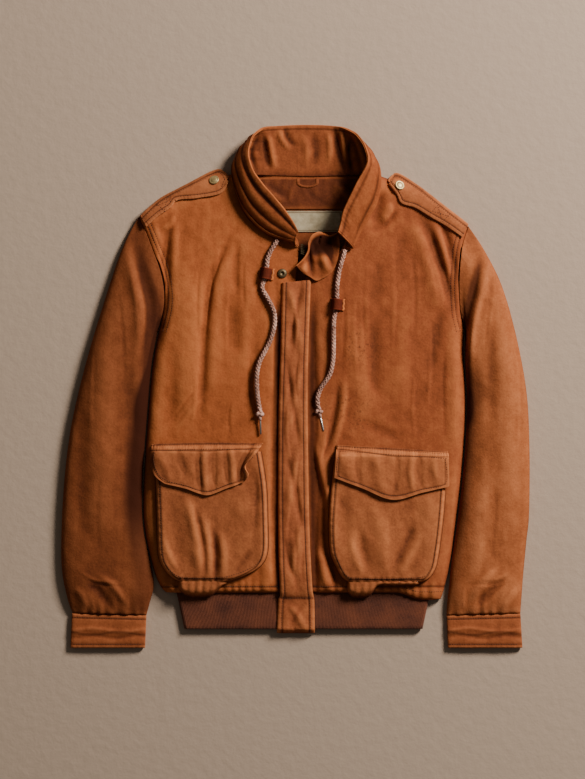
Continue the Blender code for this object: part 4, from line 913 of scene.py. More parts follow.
for side, grids in (("left", sleeve_grid(SLEEVE_OUTER_LEFT, SIDE_LEFT, INNER_END_LEFT, ARMHOLE_LEFT,
                                         FOLDS_SLEEVE_LEFT, CREASES_SLEEVE_LEFT, 2.0)),
                    ("right", sleeve_grid(SLEEVE_OUTER_RIGHT, SIDE_RIGHT, INNER_END_RIGHT, ARMHOLE_RIGHT,
                                          FOLDS_SLEEVE_RIGHT, CREASES_SLEEVE_RIGHT, 5.0))):
    grid, relief, wear_and_shade = grids
    piece = shell("sleeve_%s_shell" % side, grid, leather_sleeves[side], "sleeve_" + side,
                  LEATHER_WALL, -1.0, wraps=True, relief=relief, wear_and_shade=wear_and_shade)
cuff_shells = {}
for side, grids in (("left", cuff_grid((-336, -341.4), (-224, -344.4), (-338, -393), (-226, -393), 1.0)),
                    ("right", cuff_grid((338, -341.4), (227, -344.4), (341, -393), (229, -393), 3.0))):
    grid, relief, wear_and_shade = grids
    piece = shell("cuff_%s_shell" % side, grid, leather_cuffs, "cuff_" + side, TRIM_WALL, -1.0,
                  wraps=True, relief=relief, wear_and_shade=wear_and_shade)
    cuff_shells[side] = piece

# Waistband
# A band of rib knit in dark brown wool goes all round under the hem, with its two ends side by side under
# the placket. Its ribs run up and down, drawn at a width that can be seen.
RIB_WALL = 2.2
RIB_BOTTOM_Y = -364.5
RIB_SIDES = ((-167.0, 191.0), (-181.0, 205.0))
RIB_PITCH = 2.3
RIB_BAR = 0.8
wool, shading, shader, place = new_material("rib_knit_wool", 0.95, sheen=0.05)
fuzz = add_node(shading, NOISE, {"Vector": place, "Scale": 500.0, "Detail": 4.0})
felted = add_node(shading, NOISE, {"Vector": place, "Scale": 30.0, "Detail": 4.0})
both = add_node(shading, MATH, {0: fuzz, 1: 0.5, 2: felted}, operation="MULTIPLY_ADD")
share = add_node(shading, "ShaderNodeMapRange", {"Value": both, "From Min": 0.5, "From Max": 1.0})
tone = add_node(shading, MIX, {0: share, 6: linear("#4c220f"), 7: linear("#7a3f22")}, data_type="RGBA")
loops = add_node(shading, "ShaderNodeTexWave", {"Vector": place, "Scale": 260.0, "Distortion": 1.5},
                 bands_direction="Y")
height = add_node(shading, MATH, {0: loops, 1: fuzz}, operation="ADD")
dress(shading, shader, tone.outputs[2], height, 0.6, 0.0004)


def rib_sides(up):
    """The waistband's two sides at a share of its height."""
    return [between(low, high, up) for low, high in zip(*RIB_SIDES)]


def rib_ring(left, right, count):
    """The waistband's outer face at one height: top run, rounded side, underside, rounded side, top run."""
    half = 0.5 * RIB_TOP
    turns = np.linspace(0, np.pi, 13)
    runs = np.linspace(0, 1, count)[1:]
    x = np.concatenate([between(-0.4, left + half, runs), left + half - half * np.sin(turns[1:]),
                        between(left + half, right - half, runs), right - half + half * np.sin(turns[1:]),
                        between(right - half, 0.4, runs)])
    z = np.concatenate([np.full(runs.size, RIB_TOP), half + half * np.cos(turns[1:]), np.zeros(runs.size),
                        half - half * np.cos(turns[1:]), np.full(runs.size, RIB_TOP)])
    return x, z


rows = []
for up in np.linspace(0, 1, 12):
    x, z = rib_ring(*rib_sides(up), 50)
    y = np.full(x.size, between(RIB_BOTTOM_Y, RIB_TOP_Y, up))
    rows.append(np.column_stack([x, y, z])[::-1])
grid = np.array(rows)
rib_band = shell("rib_band", grid, wool, "rib_hem", RIB_WALL, -1.0)


def bar_tree(name):
    """Round bars along paths."""
    tree, given, out = new_tree(name, [("Radius", "NodeSocketFloat"), ("Material", "NodeSocketMaterial")])
    circle = add_node(tree, "GeometryNodeCurvePrimitiveCircle", {"Resolution": 6, "Radius": given["Radius"]})
    bars = add_node(tree, "GeometryNodeCurveToMesh",
                    {"Curve": given["Geometry"], "Profile Curve": circle, "Fill Caps": True})
    return end_tree(tree, bars, given, out)


paths = []
count = int((RIB_SIDES[1][1] - RIB_SIDES[1][0] - RIB_TOP) / RIB_PITCH)
for k in range(count + 1):
    share = k / count
    for level in (RIB_TOP - 0.5, 0.65):
        path = []
        for up in np.linspace(0.01, 0.985, 9):
            left, right = rib_sides(up)
            x = between(left + 0.5 * RIB_TOP, right - 0.5 * RIB_TOP, share)
            sway = 0.5 * math.sin(3.5 * up + 0.23 * k)
            path.append((x + sway, between(RIB_BOTTOM_Y, RIB_TOP_Y, up), level))
        paths.append(path)
ribs = grown("rib_bars", path_object("rib_paths", paths), bar_tree("ribbing"),
             {"Radius": RIB_BAR * MM, "Material": wool})

# Neck
# Inside the back neck there is a half-moon facing of darker leather, under it a woven label without any
# print, and a hanger loop cut from a folded strip, sewn in at the collar seam.
inside_leather = nubuck("brown_nubuck_inside", "#965029", "#66321a", "#3c1a0b")
FACING_LEFT = [(-74, 311), (-77, 300), (-62, 266)]
FACING_RIGHT = [(104, 311.5), (112, 300), (106, 266)]
FACING_FOLDS = [
    (4.0, 1.8, [(-58, 306), (-38, 288), (-14, 276)]), (4.0, -1.6, [(-44, 308), (-24, 292), (-8, 284)]),
    (3.5, 1.6, [(56, 310), (72, 290), (88, 272)]), (3.5, -1.6, [(66, 312), (84, 292), (98, 274)]),
    (3.0, -1.4, [(12, 300), (30, 284), (52, 272)]), (3.0, 1.4, [(-2, 304), (-8, 288), (-6, 272)]),
]
LABEL_BOX = (-14, 70, 232, 263.5)
LABEL_WALL = 0.8
LINING_LEVEL = 2.3
LOOP_MIDDLE = (18, 306)
LOOP_REACH = 17.0
LOOP_DROP = 8.0
LOOP_WIDTH = 5.0


def quilt(left, right, columns, rows):
    """A flat grid between two edges, in straight rows from the lower end of the edges up."""
    a = along(left, rows)[:, None]
    b = along(right, rows)[:, None]
    return a + (b - a) * np.asarray(columns)[None, :, None]


flat = quilt(FACING_LEFT[::-1], FACING_RIGHT[::-1], steps(180.0, 2.6, 0.8), steps(48.0, 2.0, 0.8))
up = np.linspace(0, 1, flat.shape[0])[:, None]
x, y = flat[..., 0], flat[..., 1]
wrinkles = 0.3 * np.sin(x / 2.4 + 2.0 * np.sin(y / 9.0)) * ease(up) + 0.3 * unrest(x, y, 5.0, 1.0)
crest = ridges(x, y, FACING_FOLDS)
level = LINING_LEVEL + 0.3 + wrinkles + crest
grid = np.dstack([flat, np.maximum(level, LINING_LEVEL)])
facing = shell("neck_facing_shell", grid, inside_leather, "neck_facing", TRIM_WALL, 1.0,
               relief=wrinkles + crest, wear_and_shade=0.8 * near(y, 268, 2.5))

# Damask weave of cotton and viscose: pale threads across, with a border of darker ones and greyed by wear.
weave, shading, shader, place = new_material("woven_damask", 0.85, sheen=0.2)
picks = add_node(shading, "ShaderNodeTexWave", {"Vector": place, "Scale": 420.0, "Distortion": 1.0},
                 bands_direction="Y")
soil = add_node(shading, NOISE, {"Vector": place, "Scale": 90.0, "Detail": 6.0, "Roughness": 0.65})
both = add_node(shading, MATH, {0: picks, 1: 0.25, 2: soil}, operation="MULTIPLY_ADD")
share = add_node(shading, "ShaderNodeMapRange", {"Value": both, "From Min": 0.35, "From Max": 0.95})
tone = add_node(shading, MIX, {0: share, 6: linear("#8f7b58"), 7: linear("#d6c59e")}, data_type="RGBA")
edge = add_node(shading, "ShaderNodeAttribute", attribute_name="wear_and_shade").outputs["Fac"]
tone = add_node(shading, MIX, {0: edge, 6: tone.outputs[2], 7: linear("#6b5236")}, data_type="RGBA")
dress(shading, shader, tone.outputs[2], picks, 0.5, 0.0003)
left, right, low, high = LABEL_BOX
flat = quilt([(left, low), (left, high)], [(right, low), (right, high)],
             steps(right - left, 1.6, 0.6), steps(high - low, 1.6, 0.6))
x, y = flat[..., 0], flat[..., 1]
inset = np.minimum(np.minimum(x - left, right - x), np.minimum(y - low, high - y))
level = LINING_LEVEL + 0.25 + 0.2 * unrest(x, y, 9.0, 3.0) - 0.15 * near(inset, 2.2, 0.7)
grid = np.dstack([flat, level])
label = shell("label_weave", grid, weave, "label", LABEL_WALL, 1.0, wear_and_shade=near(inset, 2.0, 0.8))

turns = np.linspace(0, np.pi, 40)
shares = np.linspace(0, 1, 9)[:, None]
reach_x = between(LOOP_REACH - LOOP_WIDTH, LOOP_REACH, shares)
reach_y = between(LOOP_DROP - 0.7 * LOOP_WIDTH, LOOP_DROP, shares)
x = LOOP_MIDDLE[0] - reach_x * np.cos(turns)
y = LOOP_MIDDLE[1] - reach_y * np.sin(turns) + np.where(np.sin(turns) < 0.05, 6.0, 0.0)
level = LINING_LEVEL + 2.2 + 0.7 * np.sin(np.pi * shares) + 0.15 * np.sin(turns * 22)
grid = np.dstack([x, y, level])[::-1]
loop = shell("hanger_loop_strip", grid, inside_leather, "hanger_loop", TRIM_WALL, -1.0,
             relief=0.4 * np.sin(np.pi * shares), wear_and_shade=0.5)

# Collar
# A tall stand collar of two layers of nubuck, turned at its top edge and topstitched there. It stands up
# round the neck, rolls outwards and falls back behind the neck, with three lengthwise rolls down its left
# side.
LAYER_SHIFT = 0.2
COLLAR_FLOOR = TRIM_WALL + LAYER_SHIFT
COLLAR_HEIGHT = 72.0
STATION_LENGTH = 24.0
COLLAR_ROLLS = 2.2
# Each row is a station along the collar: its seam, the place where it rolls over, and its top edge.
COLLAR = [
    ((4, 209, 0), (0, 217, 24), (4, 231, 30)),
    ((-9, 223, 0), (-15, 221, 24), (-2, 243, 35)),
    ((-34, 234, 0), (-41, 231, 24), (-17, 265, 40)),
    ((-57, 254, 0), (-64, 251, 25), (-34, 285, 43)),
    ((-72, 278, 0), (-80, 275, 26), (-48, 301, 44)),
    ((-82, 302, 0), (-91, 308, 25), (-63, 322, 43)),
    ((-84, 311, 0), (-93, 332, 19), (-70, 347, 38)),
    ((-76, 315, 0), (-80, 356, 10), (-64, 371, 28)),
    ((-58, 317, 0), (-57, 358, 3.5), (-49, 387, 13)),
    ((-30, 316.5, 0), (-28, 354, 1.7), (-25, 391.5, 3.5)),
    ((16, 315.5, 0), (16, 353, 1.7), (16, 393, 2.2)),
    ((60, 316, 0), (58, 353, 1.7), (55, 391.5, 3.5)),
    ((88, 316.5, 0), (83, 355, 3.5), (77, 386, 14)),
    ((106, 314, 0), (103, 353, 11), (94, 373, 28)),
    ((115, 310, 0), (120, 338, 20), (105, 351, 39)),
    ((118, 301, 0), (127, 315, 26), (106, 331, 45)),
    ((113, 279, 0), (121, 278, 27), (92, 305, 44)),
    ((102, 257, 0), (108, 254, 26), (80, 281, 42)),
    ((89, 236, 0), (96, 232, 24), (71, 261, 38)),
    ((79, 219, 0), (89, 216, 23.5), (67, 243, 36)),
    ((75, 209, 0), (85, 208, 23.5), (63, 230, 37)),
]
CREASES_COLLAR = [
    (3.5, -2.2, [(-50, 384), (-45, 352), (-38, 320)]), (3.5, 2.0, [(-42, 384), (-36, 352), (-30, 322)]),
    (3.0, -2.0, [(-18, 394), (-12, 374), (4, 358)]), (3.0, 1.6, [(-26, 390), (-20, 370), (-6, 352)]),
    (4.0, -2.4, [(-56, 384), (-66, 350), (-56, 318)]), (3.0, 2.0, [(-62, 376), (-72, 350), (-64, 322)]),
    (4.0, -2.4, [(58, 392), (64, 358), (76, 316)]), (3.5, 2.0, [(68, 390), (73, 358), (82, 326)]),
    (3.5, -2.2, [(84, 378), (79, 348), (88, 316)]), (3.0, 1.6, [(46, 388), (52, 362), (50, 330)]),
    (4.0, 1.2, [(10, 384), (18, 352), (14, 326)]), (4.0, -1.2, [(24, 388), (32, 356), (30, 326)]),
]
collar_out = nubuck("brown_nubuck_collar", "#be6c3b", "#8f4925", "#4f2310")
collar_in = nubuck("brown_nubuck_collar_inside", "#ba6a3a", "#8c4826", "#4d220f")


def through(points, t):
    """A smooth curve through given points, read at stations counted from 0."""
    k = np.minimum(t.astype(int), len(points) - 2)
    f = (t - k)[:, None]
    before, start = points[np.maximum(k - 1, 0)], points[k]
    end, after = points[k + 1], points[np.minimum(k + 2, len(points) - 1)]
    return bent(before, start, end, after, f)


def normals(grid):
    """The direction that each point of a grid faces."""
    way = np.cross(np.gradient(grid, axis=1), np.gradient(grid, axis=0))
    return way / np.maximum(np.linalg.norm(way, axis=2, keepdims=True), 1e-9)


ground = tree_of(*[solids[name] for name in ("back_panel", "front_left", "front_right", "neck_facing")])
ring = np.linspace(0, 2 * np.pi, 8, endpoint=False)
seam_line = []
for (x, y, z), roll, top in COLLAR:
    found = heights(ground, x + 5.0 * np.cos(ring), y + 5.0 * np.sin(ring), fill=False)
    seam_line.append((x, y, max(found.max() + 1.9, COLLAR_FLOOR)))
seam_line[9:12] = [(x, y, COLLAR_FLOOR) for x, y, z in seam_line[9:12]]
last = len(COLLAR) - 1
t = np.linspace(0, last, 230)
a = through(np.array(seam_line, float), t)[None]
b = through(np.array([roll for seam, roll, top in COLLAR], float), t)[None]
c = through(np.array([top for seam, roll, top in COLLAR], float), t)[None]
s = steps(COLLAR_HEIGHT, 1.5, 0.8)[:, None, None]
bend = 2 * b - 0.5 * (a + c)
middle = a * (1 - s) ** 2 + bend * 2 * s * (1 - s) + c * s * s
chord = np.where(s < 0.5, a + (b - a) * 2 * s, b + (c - b) * (2 * s - 1))
middle = between(middle, chord, 0.12)
s = s[..., 0]
along_it = t[None, :]
standing = ease((c[..., 2] - 20) / 15) * ease(np.minimum(along_it, last - along_it) / 3)
middle[..., 2] += COLLAR_ROLLS * standing * np.sin(3 * np.pi * s) * (1 - s)
left_side = np.exp(-((along_it - 4.0) / 3.4) ** 4)
wave = np.abs(np.sin(np.pi * (5.2 * s + 0.07 * along_it + 0.05)))
rolls = left_side * 2.8 * (wave - 0.6) * ease(s / 0.15) * ease((1 - s) / 0.08)
right_side = near(along_it, 16.5, 2.4)
wave_right = np.abs(np.sin(np.pi * (2.1 * s + 0.04 * along_it)))
rolls = rolls + right_side * 1.3 * (wave_right - 0.6) * ease(s / 0.15) * ease((1 - s) / 0.12)
corners = near(along_it, 7.3, 0.9) + near(along_it, 13.0, 0.9)
rolls = rolls + 1.9 * corners * np.sin(2 * np.pi * (along_it * 1.4 + 0.8 * s)) * np.sin(np.pi * s)
# Painted shade: dark lines in the troughs between the collar's rolls.
roll_shade = left_side * near(wave, 0.0, 0.34) + 0.7 * right_side * near(wave_right, 0.0, 0.22)
back_neck = ridges(middle[..., 0], middle[..., 1], CREASES_COLLAR)
fine = 0.35 * unrest(along_it * STATION_LENGTH, s * COLLAR_HEIGHT, 7.0, 2.0)
fine = fine + 0.2 * unrest(along_it * STATION_LENGTH, s * COLLAR_HEIGHT, 3.0, 5.0)
from_top = (1 - s) * COLLAR_HEIGHT
from_end = np.minimum(along_it, last - along_it) * STATION_LENGTH
hem = -0.45 * near(from_top, 6.0, 1.2) - 0.45 * near(from_end, 6.0, 1.2)
pucker = 0.25 * np.sin(along_it * 18.0) * (near(from_top, 5.0, 4.0) + fading(s * COLLAR_HEIGHT, 6.0))
swelling = (rolls + fine + hem + pucker + back_neck) * np.minimum(rounded(s * COLLAR_HEIGHT, 8.0), 1.0)
facing_way = normals(middle)
# Edges lighter where worn and darker at their seams, painted shade in the roll troughs, and painted light and
# shade on the back's creases.
edges = 1.1 * fading(from_top, 1.8) + 0.8 * fading(from_end, 1.8) - 1.2 * roll_shade
edges = edges + np.clip(0.35 * back_neck, -0.9, 0.5)
edges = edges - 0.9 * near(from_top, 5.5, 1.1) - 0.9 * near(from_end, 6.0, 1.1)
for name, way, material, node in (("collar_outside", -1.0, collar_out, "collar_outer"),
                                  ("collar_inside", 1.0, collar_in, "collar_inner")):
    lifted = middle + facing_way * (way * LAYER_SHIFT)
    swell = np.clip(swelling, -1.6, 2.0)
    lifted[..., 2] += np.abs(facing_way[..., 2]) * swell
    lifted[..., :2] += facing_way[..., :2] * swell[..., None]
    lifted[..., 2] = np.maximum(lifted[..., 2], COLLAR_FLOOR)
    lifted[..., 2] += np.maximum(back_neck, -0.8) * np.exp(-((along_it - 10.0) / 3.4) ** 4) * (way > 0)
    shade = 2.5 * fading(s * COLLAR_HEIGHT, 5.0) * (name == "collar_inside")
    piece = shell(name, lifted, material, node, TRIM_WALL, way, relief=1.2 * swelling - shade,
                  wear_and_shade=edges)

# Throat
# The collar's lower front end crosses the throat below the label: its upper edge rolls over to a light
# line, and its corner is turned up. The dark top end of the zip shows under it.
THROAT_UPPER = [(63, 231, 15), (52, 226, 11), (43, 229, 14), (34, 231, 20), (24, 226, 23), (19, 216, 22),
                (18, 204, 20), (12, 192, 20), (0, 180, 24)]
THROAT_LOWER = [(67, 214, 16), (65, 200, 16), (62, 186, 16), (57, 174, 16), (49, 166, 16), (40, 161, 16),
                (31, 158, 17), (22, 163, 19), (8, 172, 24)]
THROAT_WIDTH = 45.0
ground = tree_of(front_left, front_right)
t = np.linspace(0, 1, 60)
upper = along(THROAT_UPPER, t)[None]
lower = along(THROAT_LOWER, t)[None]
s = steps(THROAT_WIDTH, 1.6, 0.6)[:, None]
t = t[None, :]
middle = lower + (upper - lower) * s[..., None]
x, y = middle[..., 0], middle[..., 1]
crease = 2.2 * np.sin(5 * np.pi * t) * np.sin(np.pi * s)
crease = crease + 1.6 * np.sin(9 * np.pi * t + 4.0 * s) * np.sin(np.pi * s) + 0.6 * unrest(x, y, 4.0, 2.0)
from_lip = (1 - s) * THROAT_WIDTH
hollow = np.exp(-((x - 34) / 24) ** 4 - ((y - 211) / 15) ** 4) * ease((from_lip - 2.5) / 3.0)
lip = 1.8 * np.exp(-(from_lip / 3.0) ** 2) - 6.0 * hollow - 1.4 * np.exp(-(from_lip / 7.0 - 1.2) ** 2)
level = np.maximum(middle[..., 2] + crease + lip, heights(ground, x, y) + 0.6)
grid = np.dstack([x, y, level])[:, ::-1]
# The lip and the ends are lighter; painted shade darkens the deep hollow under the lip.
throat_edges_and_shade = (1.3 * fading(from_lip, 1.6) + 0.7 * fading(s * THROAT_WIDTH, 2.0) - 1.4 * hollow)[:, ::-1]
throat = shell("throat_shell", grid, collar_out, "throat_facing", TRIM_WALL, 1.0,
               relief=(crease + lip)[:, ::-1], wear_and_shade=throat_edges_and_shade)

# Aged brass zip end: a short stretch of woven tape with its last teeth and the top stop, nearly black with
# age.
tarnish, shading, shader, place = new_material("zip_brass_blackened", 0.5, metallic=0.8)
spots = add_node(shading, NOISE, {"Vector": place, "Scale": 600.0, "Detail": 3.0})
tone = add_node(shading, MIX, {0: spots, 6: linear("#1c120c"), 7: linear("#8a7350")}, data_type="RGBA")
dress(shading, shader, tone.outputs[2])
ZIP_TOP = (11.0, 212.0)
ZIP_TEETH = 6
TOOTH_PITCH = 2.6
TOOTH_CORNERS = ((-1.6, -0.8), (1.6, -0.8), (1.6, 0.8), (-1.6, 0.8))
vertices = []
faces = []
floor_level = heights(ground, np.array([ZIP_TOP[0]]), np.array([ZIP_TOP[1] - 6]))[0] + LEATHER_WALL
for k in range(ZIP_TEETH):
    for way in (-1, 1):
        x0 = ZIP_TOP[0] + way * 1.5
        y0 = ZIP_TOP[1] - TOOTH_PITCH * k - (0.5 * TOOTH_PITCH if way > 0 else 0.0)
        box = [(x0 + dx, y0 + dy, floor_level + dz) for dz in (0.3, 2.2) for dx, dy in TOOTH_CORNERS]
        first = len(vertices)
        vertices += box
        for face in ((3, 2, 1, 0), (4, 5, 6, 7), (0, 1, 5, 4), (1, 2, 6, 5), (2, 3, 7, 6), (3, 0, 4, 7)):
            faces.append([first + corner for corner in face])
zip_end = mesh_piece("zip_end", vertices, faces, tarnish, smooth=False)

# Placket
# One long strip of nubuck covers the zip from the throat to the lower edge of the waistband. It is
# topstitched along both sides, puffs up a little over the zip and is crossed by a seam where it passes onto
# the knit.
PLACKET_LEFT = [(-27, -370), (-25, -322), (-22, -310), (-24, -250), (-25, -160), (-24, -40), (-21, 60),
                (-19, 155)]
PLACKET_RIGHT = [(28, -370), (27, -322), (24, -300), (20, -220), (18, -120), (17, 0), (19, 80), (22, 159)]
PLACKET_FOLDS = [
    (6, 1.9, [(-14, 160), (0, 110), (9, 40)]), (4.5, -1.6, [(12, 160), (1, 115), (-9, 50)]),
    (6, 1.9, [(11, 40), (-2, -20), (-14, -90)]), (4.5, -1.6, [(-16, 50), (-4, -30), (7, -100)]),
    (6, 1.9, [(9, -80), (-4, -140), (-15, -210)]), (4.5, -1.7, [(-13, -100), (0, -160), (12, -225)]),
    (6, 1.9, [(11, -190), (1, -250), (-8, -310)]), (4.5, -1.6, [(-15, -210), (-10, -260), (6, -310)]),
    (5, 1.6, [(-12, -325), (4, -345), (16, -368)]), (4, -1.4, [(14, -325), (2, -340), (-12, -366)]),
]
PLACKET_CREASES = [
    (2.2, 0.9, [(-6, 140), (2, 90), (-3, 40)]), (2.0, -0.8, [(6, 60), (1, 10), (5, -40)]),
    (2.2, 0.9, [(-10, -10), (-13, -70), (-6, -120)]), (2.0, -0.9, [(9, -90), (2, -140), (7, -190)]),
    (2.2, 0.9, [(-8, -170), (-14, -220), (-6, -270)]), (2.0, 0.8, [(12, -230), (6, -270), (10, -300)]),
    (2.0, -0.8, [(-2, -210), (2, -250), (-2, -296)]), (2.0, 0.7, [(-16, 40), (-12, 0), (-17, -40)]),
]
PLACKET_LENGTH = 528.0
PLACKET_WIDTH = 44.0
TAB_SEAM_Y = -317.5
placket_leather = nubuck("brown_nubuck_placket", "#cb7a46", "#9c5430", "#5a2914")


def ground_under(trees, x, y, widen, turns):
    """The level of what lies below a grid, with small hollows bridged as stiff leather does."""
    raw = np.max([heights(tree, x, y, fill=False) for tree in trees], axis=0)
    wide = raw
    for turn in range(widen):
        wide = np.pad(wide, 1, mode="edge")
        wide = np.maximum.reduce([wide[1:-1, 1:-1], wide[:-2, 1:-1], wide[2:, 1:-1],
                                  wide[1:-1, :-2], wide[1:-1, 2:]])
    return np.maximum(softened(wide, turns), raw)


body_top = [tree_of(front_left, front_right), tree_of(rib_band)]
rows = steps(PLACKET_LENGTH, 2.4, 0.8)
x_left = along(PLACKET_LEFT, rows)
x_right = along(PLACKET_RIGHT, rows)
w = steps(PLACKET_WIDTH, 1.7, 0.6)[None, :]
x = x_left[:, :1] + (x_right[:, :1] - x_left[:, :1]) * w
y = x_left[:, 1:] + (x_right[:, 1:] - x_left[:, 1:]) * w
across = np.minimum(w, 1 - w) * PLACKET_WIDTH
puff = 0.9 * rounded(across, 2.2) + 1.6 * rounded(across, 9.0)
swells = ridges(x, y, PLACKET_FOLDS) + 0.6 * ridges(x, y, PLACKET_CREASES, hollow=0.4)
swells += 0.35 * unrest(x, y, 6.0, 2.0)
sewn = -0.55 * near(across, 5.5, 1.2) - 0.8 * near(y, TAB_SEAM_Y, 1.6)
sewn += 0.25 * np.sin(y / 1.5 + 1.2 * np.sin(y / 9.0)) * fading(across, 5.0)
base = ground_under(body_top, x, y, 3, 14)
level = base + 0.3 + puff + np.maximum(1.6 * swells + sewn, -puff)
grid = np.dstack([x, y, level])
rub = (0.9 + 0.5 * (w < 0.5)) * fading(across, 1.8) - 1.1 * near(across, 5.5, 1.0)
rub = rub - near(y, TAB_SEAM_Y, 1.5)
placket = shell("placket_shell", grid, placket_leather, "placket", TRIM_WALL, 1.0,
                relief=0.8 * (level - softened(level, 14)) + 0.25 * ridges(x, y, PLACKET_FOLDS), wear_and_shade=rub)

# Pockets
# Two large patch pockets with bellows: each is a bag whose face stands off the front, topstitched round its
# sides and puckered along its bottom, where the bellows sag below the seam.
POCKET_LEFT_EDGE = [(-211, -98), (-209, -150), (-207, -205), (-205, -252), (-197, -272), (-186, -284),
                    (-174, -291)]
POCKET_LEFT_INNER = [(-52, -98), (-44, -150), (-42, -200), (-42, -246), (-52, -268), (-75, -282),
                     (-104, -291)]
POCKET_RIGHT_INNER = [(60, -104), (54, -150), (50, -205), (52, -246), (60, -268), (69, -284), (79, -292)]
POCKET_RIGHT_EDGE = [(226, -104), (224, -160), (219, -215), (212, -262), (205, -280), (196, -289),
                     (184, -292)]
POCKET_LEFT_FOLDS = [
    (9, 3.4, [(-168, -152), (-154, -195), (-145, -240), (-143, -300)]),
    (5, -3.0, [(-154, -168), (-143, -212), (-136, -250), (-134, -292)]),
    (7, 2.8, [(-142, -180), (-131, -235), (-127, -300)]),
    (6, -3.0, [(-124, -205), (-119, -250), (-121, -300)]),
    (7, 2.4, [(-112, -215), (-108, -255), (-110, -300)]),
    (10, -1.4, [(-190, -160), (-178, -220), (-170, -290)]),
    (16, 1.4, [(-84, -150), (-78, -210), (-84, -275)]), (5, -1.4, [(-64, -240), (-78, -262), (-96, -284)]),
    (4, 1.4, [(-198, -215), (-190, -250), (-172, -282)]), (4, -1.2, [(-60, -120), (-58, -170), (-62, -230)]),
]
POCKET_RIGHT_FOLDS = [
    (11, 2.2, [(112, -165), (130, -220), (132, -290)]), (6, -1.9, [(180, -205), (160, -245), (140, -288)]),
    (6, 1.9, [(192, -215), (170, -256), (152, -292)]), (7, -1.8, [(92, -200), (102, -248), (116, -290)]),
    (6, 1.6, [(80, -215), (90, -256), (104, -292)]), (12, 1.6, [(196, -150), (200, -200), (194, -260)]),
    (12, -1.3, [(160, -165), (168, -205), (172, -240)]), (10, -1.2, [(72, -150), (72, -190), (78, -240)]),
]
POCKET_DEPTH = 190.0
POCKET_WIDTH = 165.0
BELLOWS = 9.0
pocket_leather = nubuck("brown_nubuck_pockets", "#cc7a47", "#9c5630", "#5a2a15",
                        stains=[(150, -190, 50, 0.25), (-140, -200, 40, 0.2)])


def pocket_grid(left, right, lobe, folds, below, seed):
    """A pocket's lining side, from the lowest edge of its bellows up to its mouth."""
    top = max(left[0][1], right[0][1])
    bottom = min(left[-1][1], right[-1][1])
    down = steps(POCKET_DEPTH, 2.3, 0.8)[:, None]
    y = between(top, bottom, down)
    a = x_at(left[::-1], y[:, 0])[:, None]
    b = x_at(right[::-1], y[:, 0])[:, None]
    w = steps(POCKET_WIDTH, 2.2, 0.7)[None, :]
    x = a + (b - a) * w
    y = np.broadcast_to(y, x.shape)
    edge = np.minimum(w, 1 - w) * (b - a)
    foot = (1 - down) * (top - bottom) + 3
    inset = np.minimum(edge, foot)
    puckers = 0.5 * np.sin(x / 1.7 + 1.6 * np.sin(x / 9.0 + seed)) * near(foot, 5.0, 6.0)
    puckers += 0.35 * np.sin(y / 1.6 + 1.4 * np.sin(y / 10.0)) * near(edge, 4.0, 4.0)
    detail = 0.5 * unrest(x, y, 9.0, seed) + 0.25 * unrest(x, y, 4.0, seed + 1)
    detail += puckers - 0.6 * near(inset, 6.0, 1.3)
    lift = BELLOWS * rounded(edge, 8.0) * rounded(foot, 10.0)
    drape = 1.3 * ridges(x, y, folds)
    lift = lift + (drape + detail) * rounded(edge, 12.0)
    lift = np.maximum(lift, 0.0) + 0.2
    middle, half_width, drop = lobe
    steps_down = np.linspace(0, 1, 12)[1:, None]
    hang = 4 + drop * np.exp(-((x[-1:] - middle) / half_width) ** 4)
    end = np.minimum(w, 1 - w) * (b[-1] - a[-1])
    sag = np.sin(np.pi * np.clip(steps_down, 0, 1) ** 0.75) * 0.25 + 1 - steps_down ** 4
    wrinkle = 0.6 * np.sin(x[-1:] / 1.8 + 2.0 * steps_down) * np.sin(np.pi * steps_down)
    low_lift = 0.2 + (7.0 * np.clip(sag, 0, 1) + wrinkle) * rounded(end, 6.0) * (1 - steps_down ** 6)
    low_x = np.repeat(x[-1:], steps_down.size, axis=0)
    x = np.vstack([x, low_x])
    y = np.vstack([y, y[-1:] - hang * steps_down])
    lift = np.vstack([lift, np.maximum(low_lift, 0.2)])
    rub = 1.0 * near(inset, 3.0, 1.5) - 1.2 * near(inset, 6.4, 1.2)
    rub = rub - 1.3 * fading(inset, 1.2)
    rub = np.vstack([rub, np.broadcast_to(0.3 * np.sin(np.pi * steps_down), low_x.shape)])
    level = ground_under(below, x, y, 2, 12) + 0.3 + lift
    relief = 0.8 * (level - softened(level, 16))
    relief[:drape.shape[0]] += 0.25 * drape
    grid = np.dstack([x, y, level])
    return grid[::-1], relief[::-1], rub[::-1]


pockets = []
for side, edges, lobe, folds, seed in (
        ("left", (POCKET_LEFT_EDGE, POCKET_LEFT_INNER), (-145, 30, 21), POCKET_LEFT_FOLDS, 1.0),
        ("right", (POCKET_RIGHT_INNER, POCKET_RIGHT_EDGE), (97, 21, 21), POCKET_RIGHT_FOLDS, 4.0)):
    grid, relief, wear_and_shade = pocket_grid(*edges, lobe, folds, body_top, seed)
    piece = shell("pocket_%s_shell" % side, grid, pocket_leather, "pocket_" + side, TRIM_WALL, 1.0,
                  relief=relief, wear_and_shade=wear_and_shade)
    pockets.append(piece)

